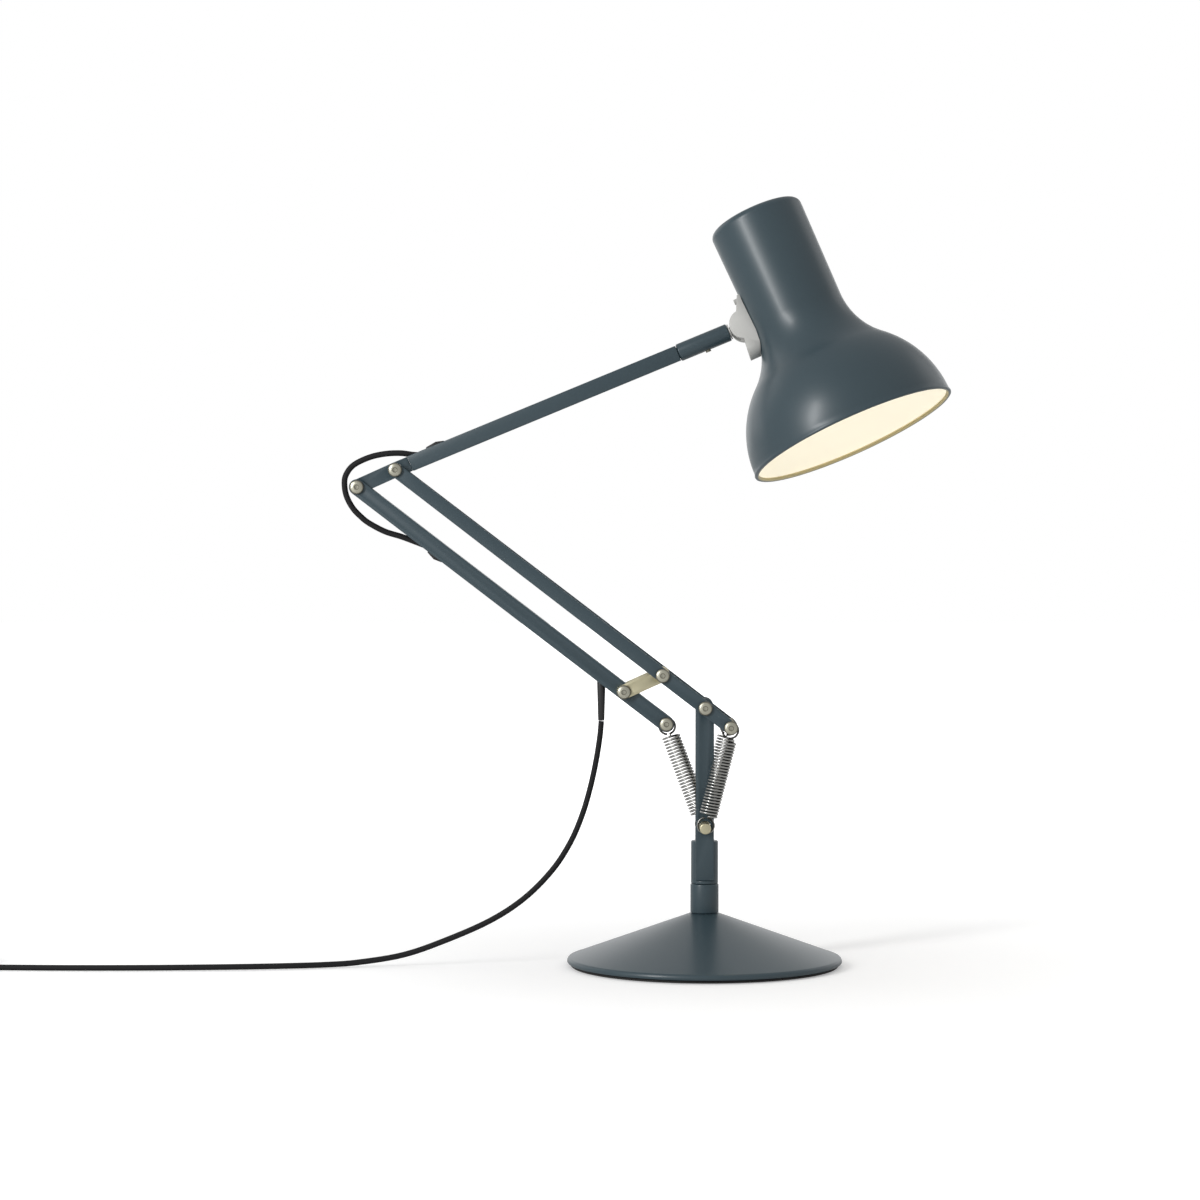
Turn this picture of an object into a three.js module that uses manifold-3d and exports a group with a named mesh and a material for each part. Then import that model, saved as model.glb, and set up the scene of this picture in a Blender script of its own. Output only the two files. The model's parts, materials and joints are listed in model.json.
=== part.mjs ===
// Small spring-balanced architect desk lamp: weighted base, swivelling post, parallel-link
// lower arm, square-tube upper arm and a bell shade on a tilting, swivelling knuckle.
// Millimetres, +Z up, origin at the centre of the base's underside. The arms lie in the XZ plane.
import * as THREE from 'three';
import { mergeVertices } from 'three/addons/utils/BufferGeometryUtils.js';
import Module from 'manifold-3d';

const wasm = await Module();
wasm.setup();

// ---------- driving dimensions ----------
const gap = 0.3;                 // clearance left between neighbouring pieces
// base
const baseRadius = 75.2;
const baseSlope = 0.366;         // rise of the cone per millimetre of radius
const coneRim = 4.1768;          // height of the cone's line above the rim of the base
const coverWall = 1.2;
const padInset = 1.8;            // the cover's rim stands this far outside the pad
const padThick = 1.4;
const collarRadius = 7.7;
const collarTop = 45;
const studRadius = 5;
const nutRadius = 8.6;
const nutThick = 4.2;
// post
const journalRadius = 4;
const bushWall = 0.7;
const spindleRadius = 7.4;
const spindleDrop = 8;           // anchor pin to the top of the spindle
const anchorHeight = 76.6;       // cross pin that the springs pull on
const shoulderHeight = 141.9;    // pivot of the lower arm
const plateHalfWidth = 4.95;
const plateThick = 1.6;
const plateInner = 5.6;          // half the gap between the post's two plates
// linkage
const linkLength = 212.5;        // shoulder pivot to elbow pivot
const linkAngle = 142.5;         // direction of the lower arm, degrees from +X
const crossAt = 29.2;            // shoulder pivot to the short cross links
const tailLength = 17.6;         // shoulder pivot to the front springs' studs
const leverLength = 23;          // elbow pivot to the rear link's pivot
const leverAngle = 24.2;         // direction of the lever, degrees from +X
const armAngle = 22.4;           // direction of the upper arm, degrees from +X
const armLength = 205.4;         // elbow pivot to the shade's tilt pivot
const stripHalfWidth = 3.7;
const stripThick = 1.8;
const stripWide = 13.5;          // half the gap between the strips at the shoulder
const stripNarrow = 4.6;         // half the gap between the strips at the elbow
const stripBendLow = 40;         // where the strips start to close in
const stripStraight = 14.5;      // parallel run of the strips before the elbow
const tubeHalf = 4.3;            // half the side of both square tubes
const tubeWall = 1;
const tubeStart = 8.7;           // elbow pivot to the end of the upper tube
const neckLength = 39;           // end of the upper tube to the tilt pivot
const leadSlotUpper = 31;        // elbow pivot to the end of the upper lead slot
const leadSlotStart = 35;        // rear link's pivot to its lead slot
const leadSlotLength = 27;
const tongueHalf = 2;            // half the thickness of the elbow tongue
const tongueHeight = 4.1;
const tongueInside = 24;         // reach of the tongue inside the tube
const crossLinkThick = 2.2;
const crossLinkHalfWidth = 3.9;
// fasteners
const boltRadius = 2;
const boltHole = boltRadius + gap;
const headRadius = 3.8;
const headHeight = 2.2;
const socketRadius = 1.45;
const socketDepth = 1.2;
const bushRadius = 3.6;
// springs
const springRadius = 5.25;
const springWire = 1;
const springPitch = 3.1;
const loopRadius = 4.4;          // middle of the wire in a spring's end loop
const pinRadius = 3.05;
const pinGroove = 2.5;
const frontSpringSide = 12.8;    // distance of each front spring from the middle plane
// neck
const sleeveRadius = 4.85;
const sleeveGap = 9.2;           // end of the sleeve to the tilt pivot
const spigotRadius = 3;
const spigotDepth = 14.4;
const shankRadius = 2.3;
const shankLength = 17.7;
const grubInset = 14;            // end of the sleeve to the grub screw
const grubRadius = 1.5;
const eyeRadius = 2.9;
const eyeHalf = 2.6;
const hingePinRadius = 1.5;
const headSwivel = -11.5;        // the shade's turn about the upper arm at rest, degrees
const shadeLean = 23.8;          // the shade's lean from upright at rest, degrees
// bracket
const earRadius = 8;
const bracketHalf = 6.3;
const pivotOut = 29.5;           // shade's axis to the tilt pivot
const pivotUp = 79.3;            // shade's mouth to the tilt pivot
const bracketTop = 98;
const bracketFoot = 60.2;
// shade
const shadeWall = 1.2;
const domeRadius = 57.4;
const domeRise = 1.3;
const filletRadius = 40;
const neckLow = 25.4;
const neckHigh = 26.3;
const shadeTop = 133;
const capEdge = 4;
const holderRadius = 13.5;
const bulbRadius = 20;
const bulbCentre = 64;
const buttonRadius = 4;
const buttonProud = 2.2;
// lead and cord
const leadRadius = 1.6;
const slotHalf = 2;
const exitInset = 41.5;          // spring end of the rear link to the cord's outlet
const coilX = -420;
const coilY = 4;
const coilMiddle = 19;
const coilHalfWidth = 7;
const coilHeight = 14;

// sizes that follow from others
const coneTip = coneRim + baseSlope * baseRadius;
const padRadius = baseRadius - padInset;
const spindleTop = anchorHeight - spindleDrop;
const tubeEnd = armLength - neckLength;
const sleeveEnd = armLength - sleeveGap;
const spigotStart = tubeEnd - spigotDepth;
const shankStart = sleeveEnd - shankLength;
const grubAt = sleeveEnd - grubInset;
const leadSlotEnd = leadSlotStart + leadSlotLength;
const exitAt = linkLength - exitInset;
const stripBendHigh = linkLength - stripStraight;

const rad = THREE.MathUtils.degToRad;
const shoulder = new THREE.Vector2(0, shoulderHeight);
const along = (from, length, angle) => new THREE.Vector2(
  from.x + length * Math.cos(rad(angle)), from.y + length * Math.sin(rad(angle)));
const elbow = along(shoulder, linkLength, linkAngle);
const leverEnd = along(elbow, leverLength, leverAngle + 180);
const crossFront = along(shoulder, crossAt, linkAngle);
const tailEnd = along(shoulder, -tailLength, linkAngle);
const rearEnd = along(shoulder, leverLength, leverAngle + 180);
const anchor = new THREE.Vector2(0, anchorHeight);
const tilt = along(elbow, armLength, armAngle);

// ---------- colours ----------
const look = (color, metalness, roughness) => new THREE.MeshStandardMaterial({ color, metalness, roughness });
const paint = () => look(0x47525a, 0.15, 0.45);
const steel = () => look(0xb9b6ab, 1, 0.3);
const wire = () => look(0xc9c8c4, 1, 0.25);
const castAlloy = () => look(0xc4c5c1, 1, 0.4);
const blackPlastic = () => look(0x161616, 0, 0.5);
const nylon = () => look(0xe6e3da, 0, 0.5);
const iron = () => look(0x3a3a3a, 0.8, 0.7);
const whiteGlass = () => look(0xfff3dc, 0, 0.3);

// ---------- geometry helpers ----------
// Merges a geometry's corners, drops flat slivers and turns its faces outwards.
function closed(geometry) {
  const bare = geometry.index ? geometry.toNonIndexed() : geometry;
  bare.deleteAttribute('normal');
  bare.deleteAttribute('uv');
  const merged = mergeVertices(bare, 1e-4);
  const index = [];
  const from = merged.index.array;
  for (let i = 0; i < from.length; i += 3) {
    const [a, b, c] = [from[i], from[i + 1], from[i + 2]];
    if (a !== b && b !== c && a !== c) index.push(a, b, c);
  }
  const p = merged.getAttribute('position');
  const [u, v, w] = [new THREE.Vector3(), new THREE.Vector3(), new THREE.Vector3()];
  let volume = 0;
  for (let i = 0; i < index.length; i += 3) {
    u.fromBufferAttribute(p, index[i]);
    v.fromBufferAttribute(p, index[i + 1]);
    w.fromBufferAttribute(p, index[i + 2]);
    volume += u.dot(v.cross(w));
  }
  if (volume < 0) index.reverse();
  merged.setIndex(index);
  return merged;
}

function toSolid(geometry) {
  const g = closed(geometry);
  return new wasm.Manifold(new wasm.Mesh({
    numProp: 3,
    vertProperties: new Float32Array(g.getAttribute('position').array),
    triVerts: new Uint32Array(g.index.array),
  }));
}

function toGeometry(manifold) {
  const mesh = manifold.getMesh();
  const g = new THREE.BufferGeometry();
  g.setAttribute('position', new THREE.BufferAttribute(mesh.vertProperties, 3));
  g.setIndex(new THREE.BufferAttribute(mesh.triVerts, 1));
  return g;
}

const cut = (body, ...tools) => toGeometry(
  tools.reduce((left, tool) => left.subtract(toSolid(tool)), toSolid(body)));
const join = (body, ...others) => toGeometry(
  others.reduce((left, other) => left.add(toSolid(other)), toSolid(body)));
const common = (body, ...others) => toGeometry(
  others.reduce((left, other) => left.intersect(toSolid(other)), toSolid(body)));

function block(x0, x1, y0, y1, z0, z1) {
  return new THREE.BoxGeometry(x1 - x0, y1 - y0, z1 - z0)
    .translate((x0 + x1) / 2, (y0 + y1) / 2, (z0 + z1) / 2);
}

// A turned piece: [radius, height] points around the Z axis.
function turned(points, segments = 24) {
  const profile = points.map(([r, z]) => new THREE.Vector2(r, z));
  return new THREE.LatheGeometry(profile, segments).rotateX(Math.PI / 2);
}
const turnedAlongX = (points, segments) => turned(points, segments).rotateY(Math.PI / 2);
// Heights run along Y, towards the back.
const turnedAlongY = (points, segments) => turned(points, segments).rotateX(-Math.PI / 2);

const rod = (radius, low, high) => [[0, low], [radius, low], [radius, high], [0, high]];
const ring = (inner, outer, low, high) => [[inner, low], [outer, low], [outer, high], [inner, high], [inner, low]];

// An outline in the XZ plane given thickness from y0 to y1.
function plate(shape, y0, y1, curveSegments = 10) {
  return new THREE.ExtrudeGeometry(shape, { depth: y1 - y0, bevelEnabled: false, curveSegments })
    .rotateX(Math.PI / 2).translate(0, y1, 0);
}

// A bar with round ends between two points of the XZ plane.
function bar(ax, az, bx, bz, half) {
  const angle = Math.atan2(bz - az, bx - ax);
  const shape = new THREE.Shape();
  shape.absarc(ax, az, half, angle + Math.PI / 2, angle + 1.5 * Math.PI, false);
  shape.absarc(bx, bz, half, angle - Math.PI / 2, angle + Math.PI / 2, false);
  shape.closePath();
  return shape;
}

const outline = (points) => new THREE.Shape(points.map(([x, z]) => new THREE.Vector2(x, z)));
const hole = (x, z, radius, reach = 40) =>
  turnedAlongY(rod(radius, -reach, reach), 16).translate(x, 0, z);

// A round cord of the given points, which are [x, y, z].
function strand(points, radius, steps) {
  const path = new THREE.CatmullRomCurve3(points.map((p) => new THREE.Vector3(...p)), false, 'centripetal');
  const section = new THREE.Shape();
  const sides = 8;
  for (let i = 0; i < sides; i += 1) {
    const a = (2 * Math.PI * i) / sides;
    const move = i === 0 ? 'moveTo' : 'lineTo';
    section[move](radius * Math.cos(a), radius * Math.sin(a));
  }
  section.closePath();
  return new THREE.ExtrudeGeometry(section, { steps, extrudePath: path, bevelEnabled: false });
}

const lamp = new THREE.Group();

function add(parent, name, geometry, material) {
  const mesh = new THREE.Mesh(closed(geometry), material);
  mesh.name = name;
  parent.add(mesh);
}

// A group at a point of the XZ plane, whose X axis points at the given angle.
function frameAt(point, angle) {
  const group = new THREE.Group();
  group.position.set(point.x, 0, point.y);
  group.rotation.y = -rad(angle);
  lamp.add(group);
  return group;
}

// ---------- base ----------
function base() {
  const skin = coverWall * Math.hypot(1, baseSlope);
  const cone = (r, drop = 0) => coneTip - baseSlope * r - drop;
  const shelf = cone(collarRadius);
  const edge = baseRadius - 1.9;
  add(lamp, 'base_pad', turned(rod(padRadius, 0, padThick), 48), look(0x141414, 0, 0.9));
  const lip = padThick + gap;
  const inner = baseRadius - coverWall;
  add(lamp, 'base_cover', turned([
    [studRadius + gap, shelf], [collarRadius, shelf], [edge, cone(edge)],
    [baseRadius - 0.5, cone(edge) - 0.9], [baseRadius, cone(edge) - 2],
    [baseRadius, lip + 0.6], [baseRadius - 0.5, lip], [inner - 0.3, lip],
    [inner, lip + 0.6], [inner - 0.6, cone(inner - 0.6, skin)],
    [collarRadius, cone(collarRadius, skin)], [studRadius + gap, shelf - skin],
    [studRadius + gap, shelf],
  ], 48), paint());
  const weightTop = (r) => cone(r, skin + gap);
  const rim = padRadius - 1.5;
  add(lamp, 'base_weight', turned([
    [studRadius + gap, padThick + nutThick + 2 * gap + 0.6], [nutRadius + 1.5, padThick + nutThick + 2 * gap + 0.6],
    [nutRadius + 1.5, padThick + gap], [rim, padThick + gap], [rim, weightTop(rim)],
    [collarRadius, weightTop(collarRadius)], [studRadius + gap, weightTop(collarRadius)],
    [studRadius + gap, padThick + nutThick + 2 * gap + 0.6],
  ], 48), iron());
  const boreFloor = shelf + 3;
  add(lamp, 'base_collar', turned([
    [0, padThick + 2 * gap], [studRadius, padThick + 2 * gap], [studRadius, shelf + gap],
    [collarRadius, shelf + gap], [collarRadius, collarTop - 0.4], [collarRadius - 0.4, collarTop],
    [journalRadius + bushWall + 2 * gap, collarTop], [journalRadius + bushWall + 2 * gap, boreFloor],
    [0, boreFloor],
  ], 32), paint());
  add(lamp, 'collar_bush', turned(
    ring(journalRadius + gap, journalRadius + gap + bushWall, boreFloor + gap, collarTop - 0.2), 24), nylon());
  const nut = turned(rod(nutRadius, padThick + 2 * gap, padThick + nutThick + gap), 6);
  add(lamp, 'collar_nut', cut(nut, turned(rod(studRadius + gap, 0, 20), 24)), steel());
  return boreFloor;
}

// ---------- post ----------
function post(boreFloor) {
  const foot = collarTop + gap;
  const flatBottom = foot + 1.6;
  const side = plateInner - gap;
  const turnedBar = turned([
    [0, boreFloor + 2 * gap], [journalRadius, boreFloor + 2 * gap], [journalRadius, foot],
    [spindleRadius, foot], [spindleRadius, spindleTop - 0.4], [spindleRadius - 0.4, spindleTop],
    [0, spindleTop],
  ], 32);
  const reach = 2 * spindleRadius;
  add(lamp, 'spindle', cut(turnedBar,
    block(-reach, reach, side, reach, flatBottom, spindleTop + 1),
    block(-reach, reach, -reach, -side, flatBottom, spindleTop + 1)), paint());
  const plateFoot = flatBottom + gap;
  const shape = new THREE.Shape();
  shape.moveTo(-plateHalfWidth, plateFoot);
  shape.lineTo(plateHalfWidth, plateFoot);
  shape.lineTo(plateHalfWidth, shoulderHeight);
  shape.absarc(0, shoulderHeight, plateHalfWidth, 0, Math.PI, false);
  shape.closePath();
  for (const [name, y0] of [['post_plate_front', -plateInner - plateThick], ['post_plate_back', plateInner]]) {
    add(lamp, name, cut(plate(shape, y0, y0 + plateThick),
      hole(0, anchorHeight, pinRadius + gap), hole(0, shoulderHeight, boltHole)), paint());
  }
  const end = frontSpringSide + springRadius + 1.1;
  const groove = springWire / 2 + 0.4;
  const grooved = (y) => [[pinRadius, y - groove - 0.2], [pinGroove, y - groove], [pinGroove, y + groove],
    [pinRadius, y + groove + 0.2]];
  add(lamp, 'spring_anchor_pin', turnedAlongY([
    [0, -end], [pinRadius - 0.3, -end], [pinRadius, -end + 0.3], ...grooved(-frontSpringSide),
    ...grooved(0), ...grooved(frontSpringSide), [pinRadius, end - 0.3], [pinRadius - 0.3, end], [0, end],
  ], 20).translate(0, 0, anchorHeight), steel());
  const between = plateInner - gap;
  add(lamp, 'shoulder_spacer', turnedAlongY(ring(boltHole, plateHalfWidth - 0.8, -between, between), 20)
    .translate(0, 0, shoulderHeight), steel());
}

// ---------- pivots ----------
// A pin with a button head at each end, the front one with a socket, and maybe a wider middle.
function pivot(parent, name, x, z, outer, spacer = 0) {
  const seat = outer + gap;
  const top = seat + headHeight;
  const middle = spacer ? [[boltRadius, -spacer], [bushRadius, -spacer], [bushRadius, spacer],
    [boltRadius, spacer]] : [];
  const dome = [[headRadius, seat], [headRadius, seat + 0.5], [headRadius - 0.9, seat + 1.6]];
  add(parent, `${name}_pin`, turnedAlongY([
    [0, socketDepth - top], [socketRadius, socketDepth - top], [socketRadius, -top],
    [socketRadius + 0.4, -top], ...dome.toReversed().map(([r, y]) => [r, -y]),
    [boltRadius, -seat], ...middle, [boltRadius, seat], ...dome, [socketRadius + 0.4, top], [0, top],
  ], 12).translate(x, 0, z), steel());
}

// ---------- lower arm: two strips that close in towards the elbow ----------
function lowerArm() {
  const arm = frameAt(shoulder, linkAngle);
  const [low, high] = [-tailLength - stripHalfWidth - 1, linkLength + stripHalfWidth + 1];
  const side = plate(bar(-tailLength, 0, linkLength, 0, stripHalfWidth), -30, 30, 12);
  const [w, n, t] = [stripWide, stripNarrow, stripThick];
  const plan = outline([[low, w], [stripBendLow, w], [stripBendHigh, n], [high, n],
    [high, n + t], [stripBendHigh, n + t], [stripBendLow, w + t], [low, w + t]]);
  const flat = new THREE.ExtrudeGeometry(plan, { depth: 20, bevelEnabled: false }).translate(0, 0, -10);
  const holes = [0, crossAt, linkLength, -tailLength].map((x) => hole(x, 0, boltHole));
  for (const [name, turn] of [['lower_arm_strip_back', 0], ['lower_arm_strip_front', Math.PI]]) {
    const strip = common(flat.clone().rotateX(turn), side);
    add(arm, name, cut(strip, ...holes), paint());
  }
  const outer = stripWide + stripThick;
  pivot(arm, 'shoulder', 0, 0, outer);
  pivot(arm, 'cross_front', crossAt, 0, outer, tubeHalf);
  pivot(arm, 'elbow', linkLength, 0, stripNarrow + stripThick);
  const washer = ring(boltHole, bushRadius, tongueHalf + gap, stripNarrow - gap);
  const backWasher = turnedAlongY(washer, 16).translate(linkLength, 0, 0);
  add(arm, 'elbow_washer_back', backWasher, nylon());
  add(arm, 'elbow_washer_front', backWasher.clone().rotateX(Math.PI), nylon());
  const near = tubeHalf + gap + crossLinkThick + gap;
  const sleeve = turnedAlongY(ring(boltHole, bushRadius, near, stripWide - gap), 16).translate(crossAt, 0, 0);
  add(arm, 'cross_sleeve_back', sleeve, steel());
  add(arm, 'cross_sleeve_front', sleeve.clone().rotateX(Math.PI), steel());
  springStuds(arm, outer);
}

// Shouldered studs through the strips' tails, on which the front springs' loops hang.
function springStuds(arm, outer) {
  const y = frontSpringSide;
  const groove = springWire / 2 + 0.4;
  const seat = outer + gap;
  const profile = [
    [0, y - groove - 1.2], [pinRadius, y - groove - 1.2], [pinRadius, y - groove - 0.2],
    [boltRadius, y - groove], [boltRadius, seat], [headRadius, seat], [headRadius, seat + 0.5],
    [headRadius - 0.9, seat + 1.6], [socketRadius + 0.4, seat + headHeight],
    [socketRadius, seat + headHeight], [socketRadius, seat + headHeight - socketDepth],
    [0, seat + headHeight - socketDepth],
  ];
  const stud = turnedAlongY(profile, 16).translate(-tailLength, 0, 0);
  add(arm, 'spring_stud_back', stud, steel());
  add(arm, 'spring_stud_front', stud.clone().rotateX(Math.PI), steel());
}

// ---------- rear link: a square tube, slotted at both ends ----------
function rearLink() {
  const link = frameAt(leverEnd, linkAngle - 180);
  const inside = tubeHalf - tubeWall;
  const body = plate(bar(0, 0, linkLength, 0, tubeHalf), -tubeHalf, tubeHalf, 12);
  const tall = 2 * tubeHalf;
  const exit = new THREE.Vector2(exitAt, -tubeHalf);
  const outletHole = turned(rod(leadRadius + 0.7 + gap, -9, 3), 16).rotateY(rad(linkAngle - 180))
    .translate(exit.x, 0, exit.y);
  add(link, 'rear_link', cut(body,
    block(-tall, linkLength + tall, -inside, inside, -inside, inside),
    block(-tall, 13, -tongueHalf - gap, tongueHalf + gap, -tall, tall),
    block(linkLength - 9, linkLength + tall, -1.4, 1.4, -tall, tall),
    block(leadSlotStart, leadSlotEnd, -slotHalf, slotHalf, -tall, 0),
    outletHole,
    hole(0, 0, boltHole), hole(linkLength - crossAt, 0, boltHole), hole(linkLength, 0, boltHole)), paint());
  pivot(link, 'lever', 0, 0, tubeHalf);
  pivot(link, 'cross_rear', linkLength - crossAt, 0, tubeHalf + gap + crossLinkThick);
  pivot(link, 'rear_spring', linkLength, 0, tubeHalf);
  const end = leadSlotEnd - 0.5;
  const clip = outline([[end - 10.5, -2.2], [end, -2.2], [end, -4.6], [end - 4.5, -5.9], [end - 9.5, -5]]);
  add(link, 'rear_lead_clip', plate(clip, -slotHalf + gap, slotHalf - gap), blackPlastic());
  // tapered strain relief of the cord, hanging straight down from the outlet
  const relief = turned([[0, -20], [leadRadius + 0.15, -20], [leadRadius + 0.7, -1], [leadRadius + 0.7, 2],
    [0, 2]], 12).rotateY(rad(linkAngle - 180)).translate(exit.x, 0, exit.y);
  add(link, 'cord_relief', relief, blackPlastic());
}

// ---------- short cross links, one each side of the rear link ----------
function crossLinks() {
  const links = frameAt(crossFront, leverAngle + 180);
  const inner = tubeHalf + gap;
  const shape = bar(0, 0, leverLength, 0, crossLinkHalfWidth);
  for (const [name, y] of [['cross_link_back', inner], ['cross_link_front', -inner - crossLinkThick]]) {
    add(links, name, cut(plate(shape, y, y + crossLinkThick), hole(0, 0, boltHole),
      hole(leverLength, 0, boltHole)), steel());
  }
}

// ---------- upper arm ----------
function upperArm() {
  const arm = frameAt(elbow, armAngle);
  const inside = tubeHalf - tubeWall;
  const tube = block(tubeStart, tubeEnd, -tubeHalf, tubeHalf, -tubeHalf, tubeHalf);
  add(arm, 'upper_arm_tube', cut(tube,
    block(tubeStart - 1, tubeEnd + 1, -inside, inside, -inside, inside),
    block(tubeStart - 1, leadSlotUpper, -slotHalf, slotHalf, 0, 2 * tubeHalf)), paint());
  const crank = rad(leverAngle - armAngle);
  const [lx, lz] = [-leverLength * Math.cos(crank), -leverLength * Math.sin(crank)];
  const shoulderEnd = tubeStart - gap;
  const keyTop = -0.5;
  const tongue = join(plate(bar(lx, lz, 0, 0, tongueHeight), -tongueHalf, tongueHalf, 12),
    block(0, shoulderEnd, -tongueHalf, tongueHalf, -tongueHeight, tongueHeight),
    block(0, tongueInside, -tongueHalf, tongueHalf, gap - inside, keyTop));
  add(arm, 'elbow_tongue', cut(tongue, hole(0, 0, bushRadius + gap), hole(lx, lz, bushRadius + gap)), paint());
  const bush = turnedAlongY(ring(boltHole, bushRadius, -tongueHalf, tongueHalf), 16);
  add(arm, 'elbow_bush', bush, nylon());
  add(arm, 'lever_bush', bush.clone().translate(lx, 0, lz), nylon());
  const end = leadSlotUpper - 0.5;
  const clip = outline([[end - 11, 3.6], [end, 3.6], [end, 4.6], [end - 4.5, 5.8], [end - 10.5, 5]]);
  add(arm, 'upper_lead_clip', plate(clip, -slotHalf + gap, slotHalf - gap), blackPlastic());
  neck(arm);
}

// Round sleeve at the end of the square tube, with its grub screw.
function neck(arm) {
  const face = tubeEnd + gap;
  const bore = shankRadius + gap;
  const sleeve = turnedAlongX([
    [0, spigotStart], [spigotRadius, spigotStart], [spigotRadius, face], [sleeveRadius - 0.5, face],
    [sleeveRadius, face + 0.5], [sleeveRadius, sleeveEnd - 0.3], [sleeveRadius - 0.3, sleeveEnd],
    [bore, sleeveEnd], [bore, shankStart - gap], [0, shankStart - gap],
  ], 24);
  const screwHole = turned(rod(grubRadius + gap, -2 * sleeveRadius, 0), 12).translate(grubAt, 0, 0);
  add(arm, 'neck_sleeve', cut(sleeve, screwHole), paint());
  const tip = shankRadius + gap;
  add(arm, 'neck_grub_screw', turned(rod(grubRadius, -sleeveRadius - 0.9, -tip), 12)
    .translate(grubAt, 0, 0), blackPlastic());
}

// ---------- knuckle, which turns in the sleeve ----------
function knuckle(swivel) {
  const collarStart = sleeveEnd + gap - armLength;
  const collarEnd = -earRadius - gap;
  const start = shankStart - armLength;
  const shank = turnedAlongX([
    [0, start], [shankRadius, start], [shankRadius, collarStart], [sleeveRadius - 0.7, collarStart],
    [sleeveRadius - 0.4, collarEnd], [0, collarEnd],
  ], 20);
  const eye = plate(bar(collarEnd + eyeRadius - 0.4, 0, 0, 0, eyeRadius), -eyeHalf, eyeHalf, 8);
  add(swivel, 'knuckle', cut(join(shank, eye), hole(0, 0, hingePinRadius + gap)), castAlloy());
}

// ---------- head: its frame stands on the shade's mouth, Z up the shade's axis ----------
// Outside radius of the shade: dome, concave fillet, then the slightly flared neck.
function shadeOutline(grow = 0) {
  const reach = filletRadius + neckLow;
  const filletUp = domeRise + Math.sqrt((domeRadius + filletRadius) ** 2 - reach ** 2);
  const points = [];
  const domeEnd = Math.atan2(filletUp - domeRise, reach);
  const domeSteps = 7;
  const start = -Math.asin(domeRise / domeRadius);
  for (let i = 0; i <= domeSteps; i += 1) {
    const a = start + ((domeEnd - start) * i) / domeSteps;
    points.push([(domeRadius + grow) * Math.cos(a), domeRise + (domeRadius + grow) * Math.sin(a)]);
  }
  const filletSteps = 5;
  for (let i = 1; i <= filletSteps; i += 1) {
    const a = Math.PI + domeEnd - (domeEnd * i) / filletSteps;
    points.push([reach + (filletRadius - grow) * Math.cos(a), filletUp + (filletRadius - grow) * Math.sin(a)]);
  }
  return points;
}

function shade(head) {
  const outside = shadeOutline();
  const inside = shadeOutline(-shadeWall);
  const top = shadeTop;
  const hold = neckHigh;
  const profile = [
    [domeRadius - 1.6, -0.4], [domeRadius + 0.3, -0.6], [domeRadius + 0.5, 0.8], ...outside.slice(1),
    [hold, top - capEdge], [hold - 0.3 * capEdge, top - 0.3 * capEdge], [hold - capEdge, top],
    [buttonRadius + gap, top], [buttonRadius + gap, top - shadeWall], [hold - capEdge, top - shadeWall],
    [hold - shadeWall, top - capEdge], ...inside.slice(1).reverse(), [domeRadius - 1.4, 0.8],
    [domeRadius - 1.6, -0.4],
  ];
  const screws = bracketScrewHeights.map((h) => screwHole(h));
  add(head, 'shade', cut(turned(profile, 36), ...screws), paint());
}

const bracketScrewHeights = [bracketFoot + 4, bracketTop - 4.6];
const screwHole = (h) => turnedAlongX(rod(hingePinRadius + gap, -pivotOut - 0.4, -pivotOut + 12), 12)
  .translate(0, 0, h);

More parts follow.
